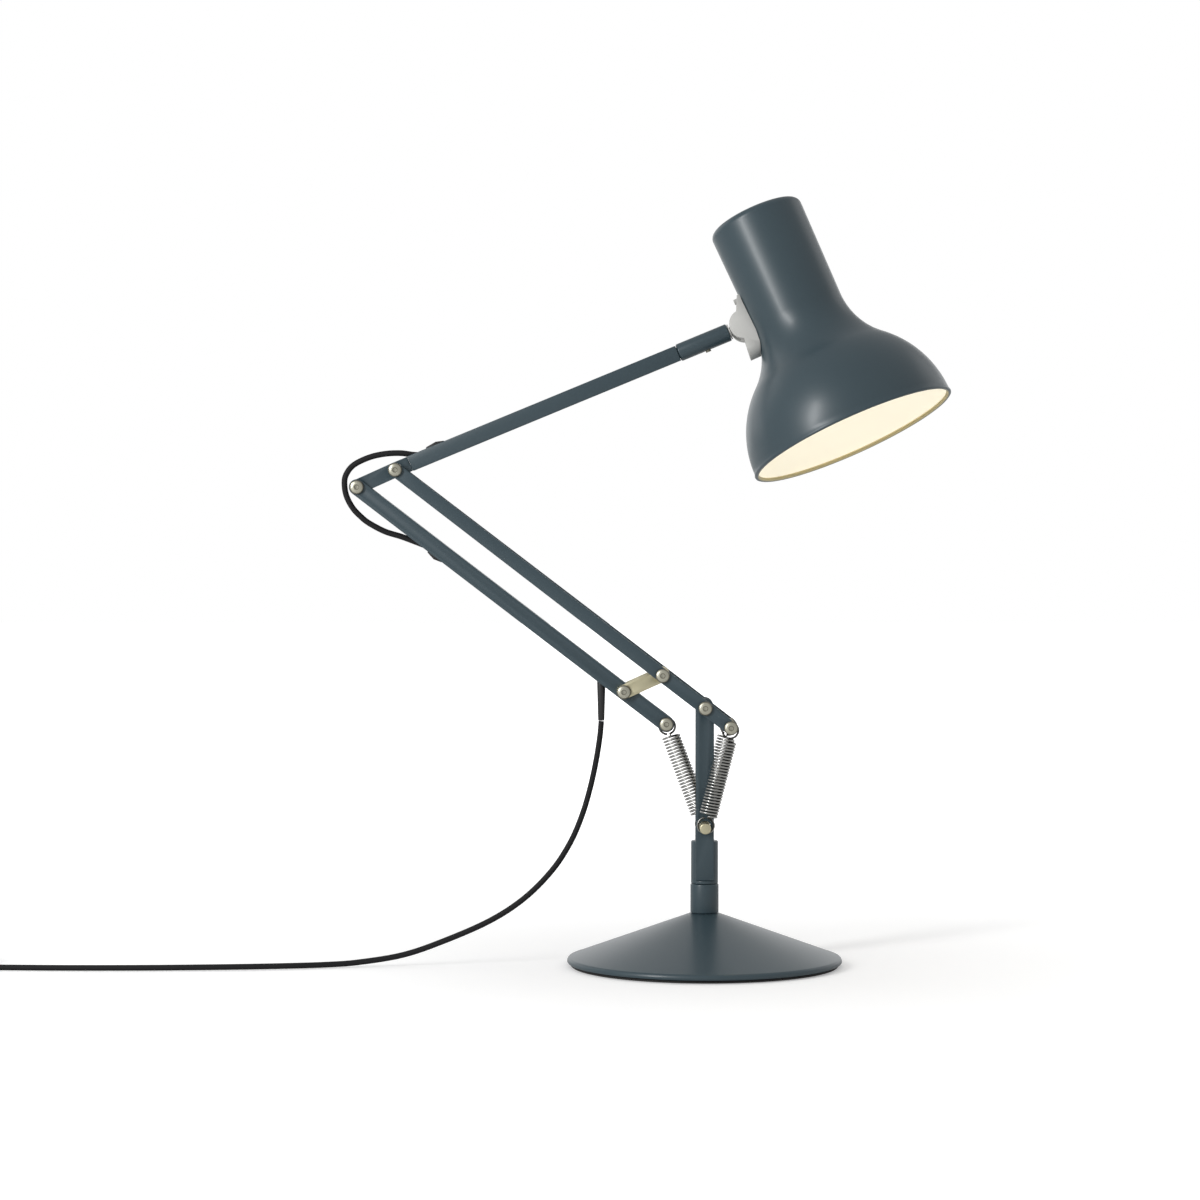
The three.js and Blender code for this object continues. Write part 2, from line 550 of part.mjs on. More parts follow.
// Cast saddle on the neck, whose two ears hold the knuckle.
function bracket(head) {
  const spread = 4.5;
  const edgeAt = (h) => pivotOut - 0.1 + (spread * (bracketTop - h)) / (bracketTop - bracketFoot);
  const shape = new THREE.Shape();
  const upper = Math.asin((edgeAt(pivotUp + earRadius) - pivotOut) / earRadius);
  const lower = Math.asin((edgeAt(pivotUp - earRadius) - pivotOut) / earRadius);
  shape.moveTo(-edgeAt(bracketTop), bracketTop);
  shape.absarc(-pivotOut, pivotUp, earRadius, Math.PI / 2 + upper, 1.5 * Math.PI - lower, false);
  shape.lineTo(-edgeAt(bracketFoot), bracketFoot);
  shape.lineTo(-neckLow + 4, bracketFoot);
  shape.lineTo(-neckLow + 4, bracketTop);
  shape.closePath();
  const face = new THREE.Shape();
  const r = bracketHalf;
  face.absarc(0, bracketTop - r, r, 0, Math.PI, false);
  face.absarc(0, bracketFoot + r, r, Math.PI, 2 * Math.PI, false);
  face.closePath();
  const roundEnds = plate(face, -2 * pivotOut, 0, 8).rotateZ(-Math.PI / 2);
  const body = common(plate(shape, -r, r, 12), roundEnds);
  const clear = shadeOutline(gap);
  const neckTop = bracketTop + 4;
  const neck = turned([[0, 40], [clear[0][0], 40], ...clear.filter(([, z]) => z > 41),
    [neckHigh + gap, neckTop], [0, neckTop]], 40);
  const slot = eyeHalf + 0.4;
  const floor = pivotOut - eyeRadius - gap;
  const pinDepth = bracketHalf - 1;
  add(head, 'shade_bracket', cut(body, neck,
    block(-2 * pivotOut, -floor, -slot, slot, pivotUp - 11, pivotUp + 11),
    turnedAlongY(rod(hingePinRadius + gap, -pinDepth, 2 * r), 16).translate(-pivotOut, 0, pivotUp),
    ...bracketScrewHeights.map((h) => screwHole(h))), castAlloy());
  add(head, 'tilt_pin', turnedAlongY([
    [0, -pinDepth + gap], [hingePinRadius, -pinDepth + gap], [hingePinRadius, r + gap],
    [hingePinRadius + 1.4, r + gap], [hingePinRadius + 1.1, r + 1.3], [0, r + 1.3],
  ], 16).translate(-pivotOut, 0, pivotUp), steel());
  bracketScrewHeights.forEach((h, i) => {
    const seat = i === 0 ? 24.2 : 23.8;
    add(head, `bracket_screw_${i + 1}`, turnedAlongX([
      [0, -pivotOut + 0.2], [hingePinRadius, -pivotOut + 0.2], [hingePinRadius, -seat], [2.7, -seat],
      [2.4, -seat + 1.5], [0, -seat + 1.5],
    ], 12).translate(0, 0, h), steel());
  });
}

// Lamp holder, bulb and push switch, on the shade's axis.
function lampInside(head) {
  const roof = shadeTop - shadeWall - gap;
  const switchFoot = roof - 8;
  const buttonHole = buttonRadius + gap;
  add(head, 'switch_body', turned([
    [0, switchFoot], [holderRadius - 1, switchFoot], [holderRadius - 1, roof], [buttonHole, roof],
    [buttonHole, switchFoot + 1], [0, switchFoot + 1],
  ], 24), blackPlastic());
  const capRadius = 7;
  const holderFoot = bulbCentre + bulbRadius + 8;
  add(head, 'lamp_holder', turned([
    [capRadius + gap, holderFoot], [holderRadius, holderFoot], [holderRadius, switchFoot - gap], [0, switchFoot - gap],
    [0, switchFoot - 4], [capRadius + gap, switchFoot - 4], [capRadius + gap, holderFoot],
  ], 24), nylon());
  const points = [];
  const steps = 9;
  const neckAngle = Math.acos(capRadius / bulbRadius);
  for (let i = 0; i <= steps; i += 1) {
    const a = -Math.PI / 2 + ((neckAngle + Math.PI / 2) * i) / steps;
    points.push([bulbRadius * Math.cos(a), bulbCentre + bulbRadius * Math.sin(a)]);
  }
  points[0][0] = 0;
  add(head, 'bulb', turned([...points, [capRadius, switchFoot - 5], [0, switchFoot - 5]], 24), whiteGlass());
  add(head, 'switch_button', turned([
    [0, roof - 5], [buttonRadius, roof - 5], [buttonRadius, shadeTop + buttonProud - 0.5],
    [buttonRadius - 0.5, shadeTop + buttonProud], [0, shadeTop + buttonProud],
  ], 20), blackPlastic());
}

function head() {
  const swivel = frameAt(tilt, armAngle);
  const turn = new THREE.Group();
  turn.rotation.x = rad(headSwivel);
  swivel.add(turn);
  knuckle(turn);
  const lean = new THREE.Group();
  lean.rotation.y = rad(armAngle - shadeLean);
  turn.add(lean);
  const stand = new THREE.Group();
  stand.position.set(pivotOut, 0, -pivotUp);
  lean.add(stand);
  shade(stand);
  bracket(stand);
  lampInside(stand);
}

// ---------- springs: ribbed envelopes with a loop at each end ----------
function loop(height) {
  const points = [];
  const sides = 6;
  for (let i = 0; i <= sides; i += 1) {
    const a = (2 * Math.PI * i) / sides;
    points.push([loopRadius + (springWire / 2) * Math.cos(a), (springWire / 2) * Math.sin(a)]);
  }
  points[sides] = points[0];
  return turnedAlongY(points, 16).translate(0, 0, height);
}

// A ribbed tube between two heights, standing for the close turns of the coil.
function ribs(start, end) {
  const turns = Math.floor((end - start) / springPitch);
  const rise = (end - start) / turns;
  const profile = [[0, start]];
  for (let i = 0; i < turns; i += 1) {
    profile.push([springRadius - springWire, start + i * rise + 0.01], [springRadius, start + (i + 0.5) * rise]);
  }
  profile.push([springRadius - springWire, end], [0, end]);
  return turned(profile, 10);
}

// The coil and its lower loop stay with the anchor pin and the hook moves with the arm. A spring
// in two stages has its coil in two halves.
function spring(name, foot, top, y, stages = 1) {
  const length = foot.distanceTo(top);
  const angle = THREE.MathUtils.radToDeg(Math.atan2(top.y - foot.y, top.x - foot.x));
  const frame = frameAt(foot, angle - 90);
  frame.position.y = y;
  const low = loopRadius - springWire / 2 - pinGroove - 0.15;
  const high = length - low;
  const end = high - loopRadius - springWire - gap;
  const start = low + loopRadius - springWire / 5;
  const middle = stages === 1 ? end : (start + end) / 2;
  const lower = stages === 1 ? `${name}_coil` : `${name}_lower`;
  add(frame, lower, join(ribs(start, middle - (stages - 1) * gap), loop(low)), wire());
  if (stages > 1) add(frame, `${name}_upper`, ribs(middle, end), wire());
  const stem = turned(rod(springRadius / 2, end + gap, high - loopRadius + 0.4), 12);
  add(frame, `${name}_hook`, join(loop(high), stem), wire());
}

// ---------- lead at the elbow, and the free cord ----------
// The lead's points were laid out with the elbow at this place, and they move with it.
const laidFrom = new THREE.Vector2(-168.587585, 271.261804);
const fromElbow = ([x, y, z]) => [elbow.x + x - laidFrom.x, y, elbow.y + z - laidFrom.y];
const leadTop = [[-147, 0, 281.9], [-153, 0, 279.6], [-158.5, 0, 279.4], [-165.8, 0, 280.3],
  [-174.5, 0, 279.9], [-183.2, 0, 277.9], [-191.5, 0, 273.8], [-195.6, 0, 268.6],
  [-196.4, 0, 265.6], [-196.5, 0, 263.7]].map(fromElbow);
const leadFoot = [[-196.5, 0, 263.2], [-196.4, 0, 261], [-195.4, 0, 256.9], [-192, 0, 250.4], [-187.6, 0, 245.7],
  [-183.2, 0, 242.2], [-174.5, 0, 237.6], [-165.8, 0, 234.9], [-158.5, 0, 232.2], [-152, 0, 229.7]].map(fromElbow);
const cordRun = [[-56.5, 0, 134], [-57.2, 0, 126], [-59.2, 0, 113], [-62.4, 0, 98], [-67, 0, 82.4],
  [-73.6, 0, 67.1], [-83.7, 0, 51.8], [-99, 0, 36.5], [-118, -0.5, 24.2], [-143.4, -1.5, 13.2],
  [-165, -3, 6], [-188, -6, 2.5], [-205, -10, 1.65], [-230, -16, 1.65], [-260, -20, 1.65],
  [-300, -23, 1.65], [-345, -23.5, 1.65], [-385, -21.5, 1.65], [-406.8, -20.4, 1.65]];
const cordTail = [[-436, 17, 1.8], [-440, 21, 2.2], [-441, 28, 4.2], [-441, 34, 5.5]];

function cords() {
  add(lamp, 'elbow_lead_top', strand(leadTop, leadRadius, 18), blackPlastic());
  add(lamp, 'elbow_lead_foot', strand(leadFoot, leadRadius, 20), blackPlastic());
  add(lamp, 'cord_run', strand(cordRun, leadRadius, 60), blackPlastic());
  const coil = turned(ring(coilMiddle - coilHalfWidth, coilMiddle + coilHalfWidth, 0.02, coilHeight), 28);
  add(lamp, 'cord_coil', join(coil.translate(coilX, coilY, 0), strand(cordTail, leadRadius, 4)), blackPlastic());
  plug();
}

// Flat two-pin plug lying behind the coil, its pins pointing away.
function plug() {
  const [x, y, z] = cordTail.at(-1);
  const half = z - 0.02;
  const [wide, narrow, front, waist] = [13, 3.2, 38, 26];
  const plan = outline([[-narrow, 0], [narrow, 0], [narrow + 1, 10], [wide, waist - 3], [wide, front],
    [-wide, front], [-wide, waist - 3], [-narrow - 1, 10]]);
  const body = new THREE.ExtrudeGeometry(plan, { depth: 2 * half, bevelEnabled: false })
    .translate(x, y + gap, z - half);
  const [pinRound, pinLength, pinSpacing] = [2, 19, 18.6];
  const pins = [-0.5, 0.5].map((side) => turnedAlongY([[0, -3], [pinRound, -3], [pinRound, pinLength - 1],
    [pinRound - 1, pinLength], [0, pinLength]], 12).translate(x + side * pinSpacing, y + front, z));
  add(lamp, 'plug', join(body, ...pins), blackPlastic());
}

const boreFloor = base();
post(boreFloor);
lowerArm();
rearLink();
crossLinks();
upperArm();
head();
spring('rear_spring', anchor, rearEnd, 0, 2);
spring('front_spring', anchor, tailEnd, -frontSpringSide);
spring('back_spring', anchor, tailEnd, frontSpringSide);
cords();

export default lamp;
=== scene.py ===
"""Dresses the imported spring-balanced desk lamp: enamelled metal, sprung linkage, lead and lit shade."""
import json
import math

import bmesh
import bpy
from bpy.props import FloatProperty, FloatVectorProperty, IntProperty, PointerProperty
from mathutils import Matrix, Vector
from mathutils.kdtree import KDTree

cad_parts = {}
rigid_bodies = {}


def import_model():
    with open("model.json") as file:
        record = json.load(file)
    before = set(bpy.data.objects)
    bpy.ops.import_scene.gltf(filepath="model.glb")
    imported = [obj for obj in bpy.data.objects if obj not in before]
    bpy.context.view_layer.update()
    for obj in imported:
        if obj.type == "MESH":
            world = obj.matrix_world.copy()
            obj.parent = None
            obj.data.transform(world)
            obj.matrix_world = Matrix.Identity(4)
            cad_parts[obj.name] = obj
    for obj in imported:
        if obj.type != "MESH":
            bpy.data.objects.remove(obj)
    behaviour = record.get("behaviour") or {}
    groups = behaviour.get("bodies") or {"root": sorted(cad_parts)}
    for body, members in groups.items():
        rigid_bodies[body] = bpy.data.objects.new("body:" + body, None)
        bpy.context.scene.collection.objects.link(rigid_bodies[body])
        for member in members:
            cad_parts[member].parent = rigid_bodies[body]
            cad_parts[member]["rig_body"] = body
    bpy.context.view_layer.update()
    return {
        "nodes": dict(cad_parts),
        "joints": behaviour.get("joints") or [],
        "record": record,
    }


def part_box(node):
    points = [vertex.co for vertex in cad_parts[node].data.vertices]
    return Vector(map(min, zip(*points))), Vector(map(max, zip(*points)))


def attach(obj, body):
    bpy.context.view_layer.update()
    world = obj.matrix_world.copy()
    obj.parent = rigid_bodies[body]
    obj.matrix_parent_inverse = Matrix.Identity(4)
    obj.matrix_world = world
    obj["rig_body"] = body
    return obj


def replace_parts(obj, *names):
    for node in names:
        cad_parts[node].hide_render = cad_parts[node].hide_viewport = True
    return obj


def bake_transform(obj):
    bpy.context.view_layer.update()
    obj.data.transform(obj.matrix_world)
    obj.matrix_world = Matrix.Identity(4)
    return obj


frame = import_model()

bl_info = {
    "name": "Spring-balanced desk lamp",
    "version": (1, 0, 0),
    "blender": (4, 5, 0),
    "location": "View3D > Sidebar > Lamp",
    "description": "Builds the finished pieces of a desk lamp on its CAD frame",
    "category": "Add Mesh",
}

MM = 0.001
WELD = 0.004 * MM                                    # corners nearer than this are one
FLAT = 0.01                                          # faces that differ by less than this, in radians, are one


# ---------- places read from the frame ----------
def joint(name):
    return next(j for j in frame["joints"] if j["name"] == name)


def pivot(name):
    return Vector(joint(name)["pos_m"])


def middle(node):
    low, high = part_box(node)
    return (low + high) / 2


def slot_of(node):
    return next(s["material_slot"] for s in frame["record"]["subparts"] if s["node"] == node)


def body_of(node):
    return frame["nodes"][node]["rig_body"]


ELBOW = pivot("elbow")
ANCHOR = pivot("front_spring_turn")
TILT = pivot("head_tilt")


# ---------- sizes and colours that a user would change ----------
def millimetres(name, description, default):
    return FloatProperty(name=name, description=description, default=default * MM, unit="LENGTH")


def colour(name, description, default):
    return FloatVectorProperty(name=name, description=description, default=default, size=3,
                               subtype="COLOR", min=0, max=1)


class LampFinish(bpy.types.PropertyGroup):
    paint: colour("Paint", "Satin paint of the base, arms and shade", (0.037, 0.062, 0.076))
    steel: colour("Nickel", "Satin nickel of the links and shanks", (0.64, 0.595, 0.41))
    pins: colour("Pins", "Steel of the heads on the pins", (0.52, 0.51, 0.42))
    wire: colour("Spring wire", "Bright zinc of the springs", (0.46, 0.46, 0.44))
    alloy: colour("Cast alloy", "Satin alloy of the shade's bracket", (0.52, 0.52, 0.50))
    sheath: colour("Lead", "Black sheath of the lead", (0.010, 0.010, 0.011))
    enamel: colour("Inside of the shade", "White enamel lit by the bulb", (0.75, 0.75, 0.71))
    glow: colour("Lamp light", "Colour of the bulb's light", (1.0, 0.80, 0.50))


class LampSizes(bpy.types.PropertyGroup):
    spring_radius: millimetres("Spring radius", "Outside radius of a spring", 5.2)
    spring_wire: millimetres("Spring wire", "Diameter of the spring wire", 1.2)
    spring_turns: IntProperty(name="Spring turns", description="Turns of each spring", default=26, min=4)
    loop_radius: millimetres("Spring loop", "Radius of a spring's end loop", 4.4)
    lead_diameter: millimetres("Lead", "Diameter of the lead", 3.2)
    lead_length: FloatProperty(name="Lead length", description="Length of the free lead", default=2.0,
                               unit="LENGTH")
    dome_radius: millimetres("Dome radius", "Outside radius of the shade's dome", 57.4)
    dome_rise: millimetres("Dome rise", "Height of the dome's centre above the mouth", 1.3)
    fillet_radius: millimetres("Fillet radius", "Hollow curve between dome and neck", 40)
    neck_low: millimetres("Neck foot", "Radius of the neck above the hollow curve", 25.4)
    neck_high: millimetres("Neck top", "Radius of the neck at its top", 26.3)
    shade_top: millimetres("Shade height", "Mouth to the top of the shade", 133)
    shade_edge: millimetres("Shade edge", "Rounding of the shade's top", 4)
    shade_wall: millimetres("Shade wall", "Thickness of the shade", 1.2)
    pivot_out: millimetres("Pivot reach", "Shade's axis to the tilt pivot", 29.5)
    pivot_up: millimetres("Pivot height", "Shade's mouth to the tilt pivot", 79.3)
    head_swivel: FloatProperty(name="Swivel", description="Turn of the shade about the arm at rest",
                               default=math.radians(-11.5), subtype="ANGLE")
    shade_lean: FloatProperty(name="Lean", description="Lean of the shade from upright at rest",
                              default=math.radians(23.8), subtype="ANGLE")
    segments: IntProperty(name="Segments", description="Facets round a turned piece", default=128, min=24)


def sizes():
    return bpy.context.scene.lamp_sizes


def colours():
    return bpy.context.scene.lamp_finish


# ---------- shader maths ----------
class Signal:
    """A socket of a material that can be used in sums."""

    def __init__(self, finish, socket):
        self.finish, self.socket = finish, socket

    def _with(self, operation, first, second):
        return self.finish.value("ShaderNodeMath", {"operation": operation}, {0: first, 1: second})

    def __add__(self, other):
        return self._with("ADD", self, other)

    def __sub__(self, other):
        return self._with("SUBTRACT", self, other)

    def __mul__(self, other):
        return self._with("MULTIPLY", self, other)

    def __pow__(self, other):
        return self._with("POWER", self, other)

    def wave(self):
        return self._with("SINE", self, 0.0)

    __radd__, __rmul__ = __add__, __mul__


class Finish:
    """A material under construction."""

    def __init__(self, name):
        self.material = bpy.data.materials.new(f"{name}_finish")
        self.material.use_nodes = True
        self.tree = self.material.node_tree
        self.tree.nodes.clear()
        self.place = self.value("ShaderNodeTexCoord", {}, {}, "Object")

    def node(self, kind, settings, inputs):
        made = self.tree.nodes.new(kind)
        for key, value in settings.items():
            if key == "stops":
                for element, (at, shade) in zip(made.color_ramp.elements, value):
                    element.position, element.color = at, (*shade, 1)
            else:
                setattr(made, key, value)
        for key, value in inputs.items():
            if isinstance(value, Signal):
                self.tree.links.new(value.socket, made.inputs[key])
            else:
                made.inputs[key].default_value = value
        return made

    def value(self, kind, settings, inputs, output=0):
        return Signal(self, self.node(kind, settings, inputs).outputs[output])

    def noise(self, scale, detail=2.0, place=None):
        return self.value("ShaderNodeTexNoise", {}, {"Vector": place or self.place, "Scale": scale,
                                                     "Detail": detail})

    def stretched(self, x, y, z):
        return self.value("ShaderNodeMapping", {}, {"Vector": self.place, "Scale": (x, y, z)})

    def attribute(self, name):
        return self.value("ShaderNodeAttribute", {"attribute_name": name}, {}, "Fac")

    def blend(self, factor, dark, light):
        return self.value("ShaderNodeMix", {"data_type": "RGBA"},
                          {0: factor, 6: (*dark, 1), 7: (*light, 1)}, 2)

    def bump(self, height, strength, distance):
        return self.value("ShaderNodeBump", {}, {"Height": height, "Strength": strength, "Distance": distance})

    def surface(self, **inputs):
        names = {k.replace("_", " "): v for k, v in inputs.items()}
        shader = self.node("ShaderNodeBsdfPrincipled", {}, names)
        output = self.node("ShaderNodeOutputMaterial", {}, {})
        self.tree.links.new(shader.outputs[0], output.inputs["Surface"])
        return self.material


def scaled(shade, factor):
    return tuple(min(1, c * factor) for c in shade)


SHINE = {"Coat_Roughness": 0.2, "IOR": 1.5, "Specular_IOR_Level": 0.5}


# ---------- finishes ----------
def slate_paint():
    finish = Finish("slate_paint")
    peel = finish.noise(1500, 1)
    cloud = finish.noise(22, 3)
    speck = finish.noise(5200, 0)
    body = colours().paint
    return finish.surface(
        Base_Color=finish.blend(cloud * 0.7 + speck * 0.3, scaled(body, 0.93), scaled(body, 1.08)),
        Roughness=0.34 + 0.04 * cloud + 0.03 * peel,
        Normal=finish.bump(peel * 0.8 + speck * 0.2, 0.07, 0.00012),
        Coat_Weight=0.1, **SHINE)


def metal(name, body, roughness, scale=900, brush=(1, 1, 1), metallic=1.0):
    finish = Finish(name)
    grain = finish.noise(scale, 2, finish.stretched(*brush))
    dull = finish.noise(60, 3)
    return finish.surface(
        Base_Color=finish.blend(dull * 0.6 + grain * 0.4, scaled(body, 0.88), scaled(body, 1.08)),
        Metallic=metallic, Roughness=roughness - 0.07 + 0.08 * dull + 0.1 * grain,
        Normal=finish.bump(grain, 0.18, 0.00006))


def bright_steel():
    return metal("bright_steel", colours().steel, 0.36)


def pin_steel():
    return metal("pin_steel", colours().pins, 0.36)


def spring_wire():
    """Bright wire, with painted shade darkening the side of each turn that faces into the coil."""
    finish = Finish("spring_wire")
    grain = finish.noise(1800, 2)
    # Painted shade: the wire's colour falls to near black on the side of each turn that faces into the coil.
    bright = finish.attribute("outward") ** 2.0
    body = colours().wire
    return finish.surface(
        Base_Color=finish.blend(bright * (0.9 + 0.2 * grain), scaled(body, 0.06), body),
        Metallic=1.0, Roughness=0.24 + 0.10 * grain, Normal=finish.bump(grain, 0.1, 0.00005))


def cast_alloy():
    return metal("cast_alloy", colours().alloy, 0.55, 2400, metallic=0.2)


# Dark iron; the pin heads also use it for their painted shade and dark reflection bands.
def dark_iron():
    return metal("dark_iron", (0.22, 0.21, 0.17), 0.45, 300)


def moulded(name, body, roughness, scale=2600):
    finish = Finish(name)
    grain = finish.noise(scale, 1)
    cloud = finish.noise(40, 2)
    return finish.surface(
        Base_Color=finish.blend(cloud, scaled(body, 0.85), scaled(body, 1.12)),
        Roughness=roughness - 0.06 + 0.12 * grain,
        Normal=finish.bump(grain, 0.15, 0.00008), **SHINE)


def black_plastic():
    return moulded("black_plastic", (0.014, 0.014, 0.015), 0.42)


def foot_rubber():
    return moulded("foot_rubber", (0.012, 0.012, 0.012), 0.75, 1200)


def pale_plastic():
    return moulded("pale_plastic", (0.72, 0.70, 0.64), 0.4)


def black_cord():
    """Fine woven sleeve: two sets of threads that cross along the lead."""
    threads, pitch = 12, 5200
    finish = Finish("black_cord")
    turn, run = finish.attribute("around"), finish.attribute("along")
    right = (turn * (threads * math.tau) + run * pitch).wave()
    left = (turn * (threads * math.tau) - run * pitch).wave()
    weave = right * left * 0.5 + 0.5
    fluff = finish.noise(1400, 2)
    body = colours().sheath
    return finish.surface(
        Base_Color=finish.blend(weave * 0.6 + fluff * 0.4, scaled(body, 0.6), scaled(body, 1.6)),
        Roughness=0.62 + 0.12 * fluff, Specular_IOR_Level=0.25,
        Normal=finish.bump(weave + 0.3 * fluff, 0.35, 0.00012))


def shade_enamel():
    finish = Finish("shade_enamel")
    haze = finish.noise(35, 2)
    fine = finish.noise(1500, 1)
    body = colours().enamel
    return finish.surface(
        Base_Color=finish.blend(haze, scaled(body, 0.97), scaled(body, 1.03)),
        Roughness=0.45 + 0.06 * fine, Normal=finish.bump(fine, 0.06, 0.0001),
        # Painted light: the enamel glows faintly warm white as if lit by the bulb.
        Emission_Color=finish.blend(haze, (0.96, 0.94, 0.85), (0.98, 0.97, 0.90)),
        Emission_Strength=0.19)


def rim_enamel():
    """The turned-in rim of the shade: the white enamel painted a darker khaki as the shade where the bulb
    doesn't reach.
    """
    finish = Finish("rim_enamel")
    haze = finish.noise(35, 2)
    fine = finish.noise(1500, 1)
    body = (0.46, 0.41, 0.24)
    return finish.surface(
        Base_Color=finish.blend(haze, scaled(body, 0.94), scaled(body, 1.06)),
        Roughness=0.4 + 0.08 * fine, Normal=finish.bump(fine, 0.06, 0.0001))


def bulb_glass():
    finish = Finish("bulb_glass")
    haze = finish.noise(60, 2)
    return finish.surface(
        Base_Color=finish.blend(haze, (0.95, 0.90, 0.80), (1.0, 0.96, 0.88)),
        Roughness=0.25 + 0.05 * haze,
        Emission_Color=finish.blend(haze, (1.0, 0.84, 0.56), (1.0, 0.90, 0.70)),
        Emission_Strength=1.6)


MAKERS = {maker.__name__: maker for maker in (
    slate_paint, bright_steel, pin_steel, spring_wire, cast_alloy, dark_iron, black_plastic, foot_rubber,
    pale_plastic, black_cord, shade_enamel, rim_enamel, bulb_glass)}


def material(name):
    return bpy.data.materials.get(f"{name}_finish") or MAKERS[name]()


# ---------- meshes ----------
def new_object(name, mesh):
    made = bpy.data.objects.new(name, mesh)
    bpy.context.scene.collection.objects.link(made)
    return made


def from_bmesh(name, build, *finishes):
    mesh = bpy.data.meshes.new(name)
    build.to_mesh(mesh)
    build.free()
    for finish in finishes:
        mesh.materials.append(material(finish))
    return new_object(name, mesh)


def baked(made):
    """The object's modifiers worked into a plain mesh."""
    bpy.context.view_layer.update()
    graph = bpy.context.evaluated_depsgraph_get()
    mesh = bpy.data.meshes.new_from_object(made.evaluated_get(graph), depsgraph=graph)
    made.modifiers.clear()
    made.data = mesh
    return made


def smooth(made, degrees=35):
    made.data.shade_smooth()
    made.data.set_sharp_from_angle(angle=math.radians(degrees))
    return made


def fitted(made, body, slot, *nodes):
    """The piece rides on its body and stands for the CAD nodes."""
    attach(made, body)
    if nodes:
        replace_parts(made, *nodes)
    return made


def turned(name, profile, segments, place, *finishes, zones=()):
    """A closed outline of (radius, height) turned about Z, then put in place.
    zones gives the number of the finish for the faces after each outline point."""
    build = bmesh.new()
    rings = []
    for r, z in profile:
        if r < 1e-7:
            rings.append([build.verts.new((0, 0, z))])
            continue
        turn = [math.tau * k / segments for k in range(segments)]
        rings.append([build.verts.new((r * math.cos(a), r * math.sin(a), z)) for a in turn])
    closed = len(rings[0]) > 1 or len(rings[-1]) > 1
    count = len(rings) if closed else len(rings) - 1
    for i in range(count):
        low, high = rings[i], rings[(i + 1) % len(rings)]
        for k in range(segments):
            n = (k + 1) % segments
            corners = [low[k % len(low)], low[n % len(low)], high[n % len(high)], high[k % len(high)]]
            corners = list(dict.fromkeys(corners))
            if len(corners) > 2:
                face = build.faces.new(corners)
                if zones:
                    face.material_index = zones[i]
    bmesh.ops.recalc_face_normals(build, faces=build.faces)
    build.transform(place)
    return smooth(from_bmesh(name, build, *finishes), 40)


def refined(name, nodes, edge, angle=30):
    """A copy of CAD solids on one body, with clean flat faces and edges rounded by edge millimetres."""
    build = bmesh.new()
    for node in nodes:
        build.from_mesh(frame["nodes"][node].data)
    bmesh.ops.remove_doubles(build, verts=build.verts, dist=WELD)
    bmesh.ops.dissolve_limit(build, angle_limit=FLAT, verts=build.verts, edges=build.edges)
    made = from_bmesh(name, build, slot_of(nodes[0]))
    bevel = made.modifiers.new("edges", "BEVEL")
    bevel.width, bevel.segments = edge * MM, 2
    bevel.limit_method, bevel.angle_limit = "ANGLE", math.radians(angle)
    bevel.use_clamp_overlap = True
    baked(made)
    smooth(made)
    return fitted(made, body_of(nodes[0]), slot_of(nodes[0]), *nodes)


def arc(cx, cz, radius, start, end, steps):
    """Points of an arc in the outline plane, angles in degrees."""
    angles = [math.radians(start + (end - start) * i / steps) for i in range(steps + 1)]
    return [(cx + radius * math.cos(a), cz + radius * math.sin(a)) for a in angles]


# ---------- geometry node trees ----------
def new_tree(name, inputs):
    tree = bpy.data.node_groups.new(name, "GeometryNodeTree")
    face = tree.interface
    face.new_socket("Geometry", in_out="INPUT", socket_type="NodeSocketGeometry")
    for label, kind in inputs.items():
        face.new_socket(label, in_out="INPUT", socket_type=kind)
    face.new_socket("Geometry", in_out="OUTPUT", socket_type="NodeSocketGeometry")
    return tree, tree.nodes.new("NodeGroupInput"), tree.nodes.new("NodeGroupOutput")


def add_node(tree, kind, inputs, **settings):
    made = tree.nodes.new(kind)
    for key, value in settings.items():
        setattr(made, key, value)
    for key, value in inputs.items():
        if isinstance(value, bpy.types.NodeSocket):
            tree.links.new(value, made.inputs[key])
        else:
            made.inputs[key].default_value = value
    return made


def finish_tree(tree, source, output, geometry):
    """Ends a tree in plain geometry with the chosen finish."""
    real = add_node(tree, "GeometryNodeRealizeInstances", {"Geometry": geometry})
    painted = add_node(tree, "GeometryNodeSetMaterial", {"Geometry": real.outputs[0],
                                                         "Material": source.outputs["Finish"]})
    tree.links.new(painted.outputs[0], output.inputs[0])
    return tree


def strand_tree():
    """Sweeps a round section along a line; the places along and around it are kept for the finish."""
    found = bpy.data.node_groups.get("strand")
    if found:
        return found
    tree, source, output = new_tree("strand", {"Radius": "NodeSocketFloat", "Sides": "NodeSocketInt",
                                               "Finish": "NodeSocketMaterial"})
    line = add_node(tree, "GeometryNodeMeshToCurve", {"Mesh": source.outputs["Geometry"]})
    spot = add_node(tree, "GeometryNodeSplineParameter", {})
    marked = add_node(tree, "GeometryNodeStoreNamedAttribute",
                      {"Geometry": line.outputs[0], "Name": "along", "Value": spot.outputs["Length"]},
                      data_type="FLOAT", domain="POINT")
    section = add_node(tree, "GeometryNodeCurvePrimitiveCircle",
                       {"Resolution": source.outputs["Sides"], "Radius": source.outputs["Radius"]})
    turn = add_node(tree, "GeometryNodeSplineParameter", {})
    lapped = add_node(tree, "GeometryNodeStoreNamedAttribute",
                      {"Geometry": section.outputs[0], "Name": "around", "Value": turn.outputs["Factor"]},
                      data_type="FLOAT", domain="POINT")
    swept = add_node(tree, "GeometryNodeCurveToMesh", {"Curve": marked.outputs[0],
                                                       "Profile Curve": lapped.outputs[0], "Fill Caps": True})
    soft = add_node(tree, "GeometryNodeSetShadeSmooth", {"Geometry": swept.outputs[0]})
    return finish_tree(tree, source, output, soft.outputs[0])


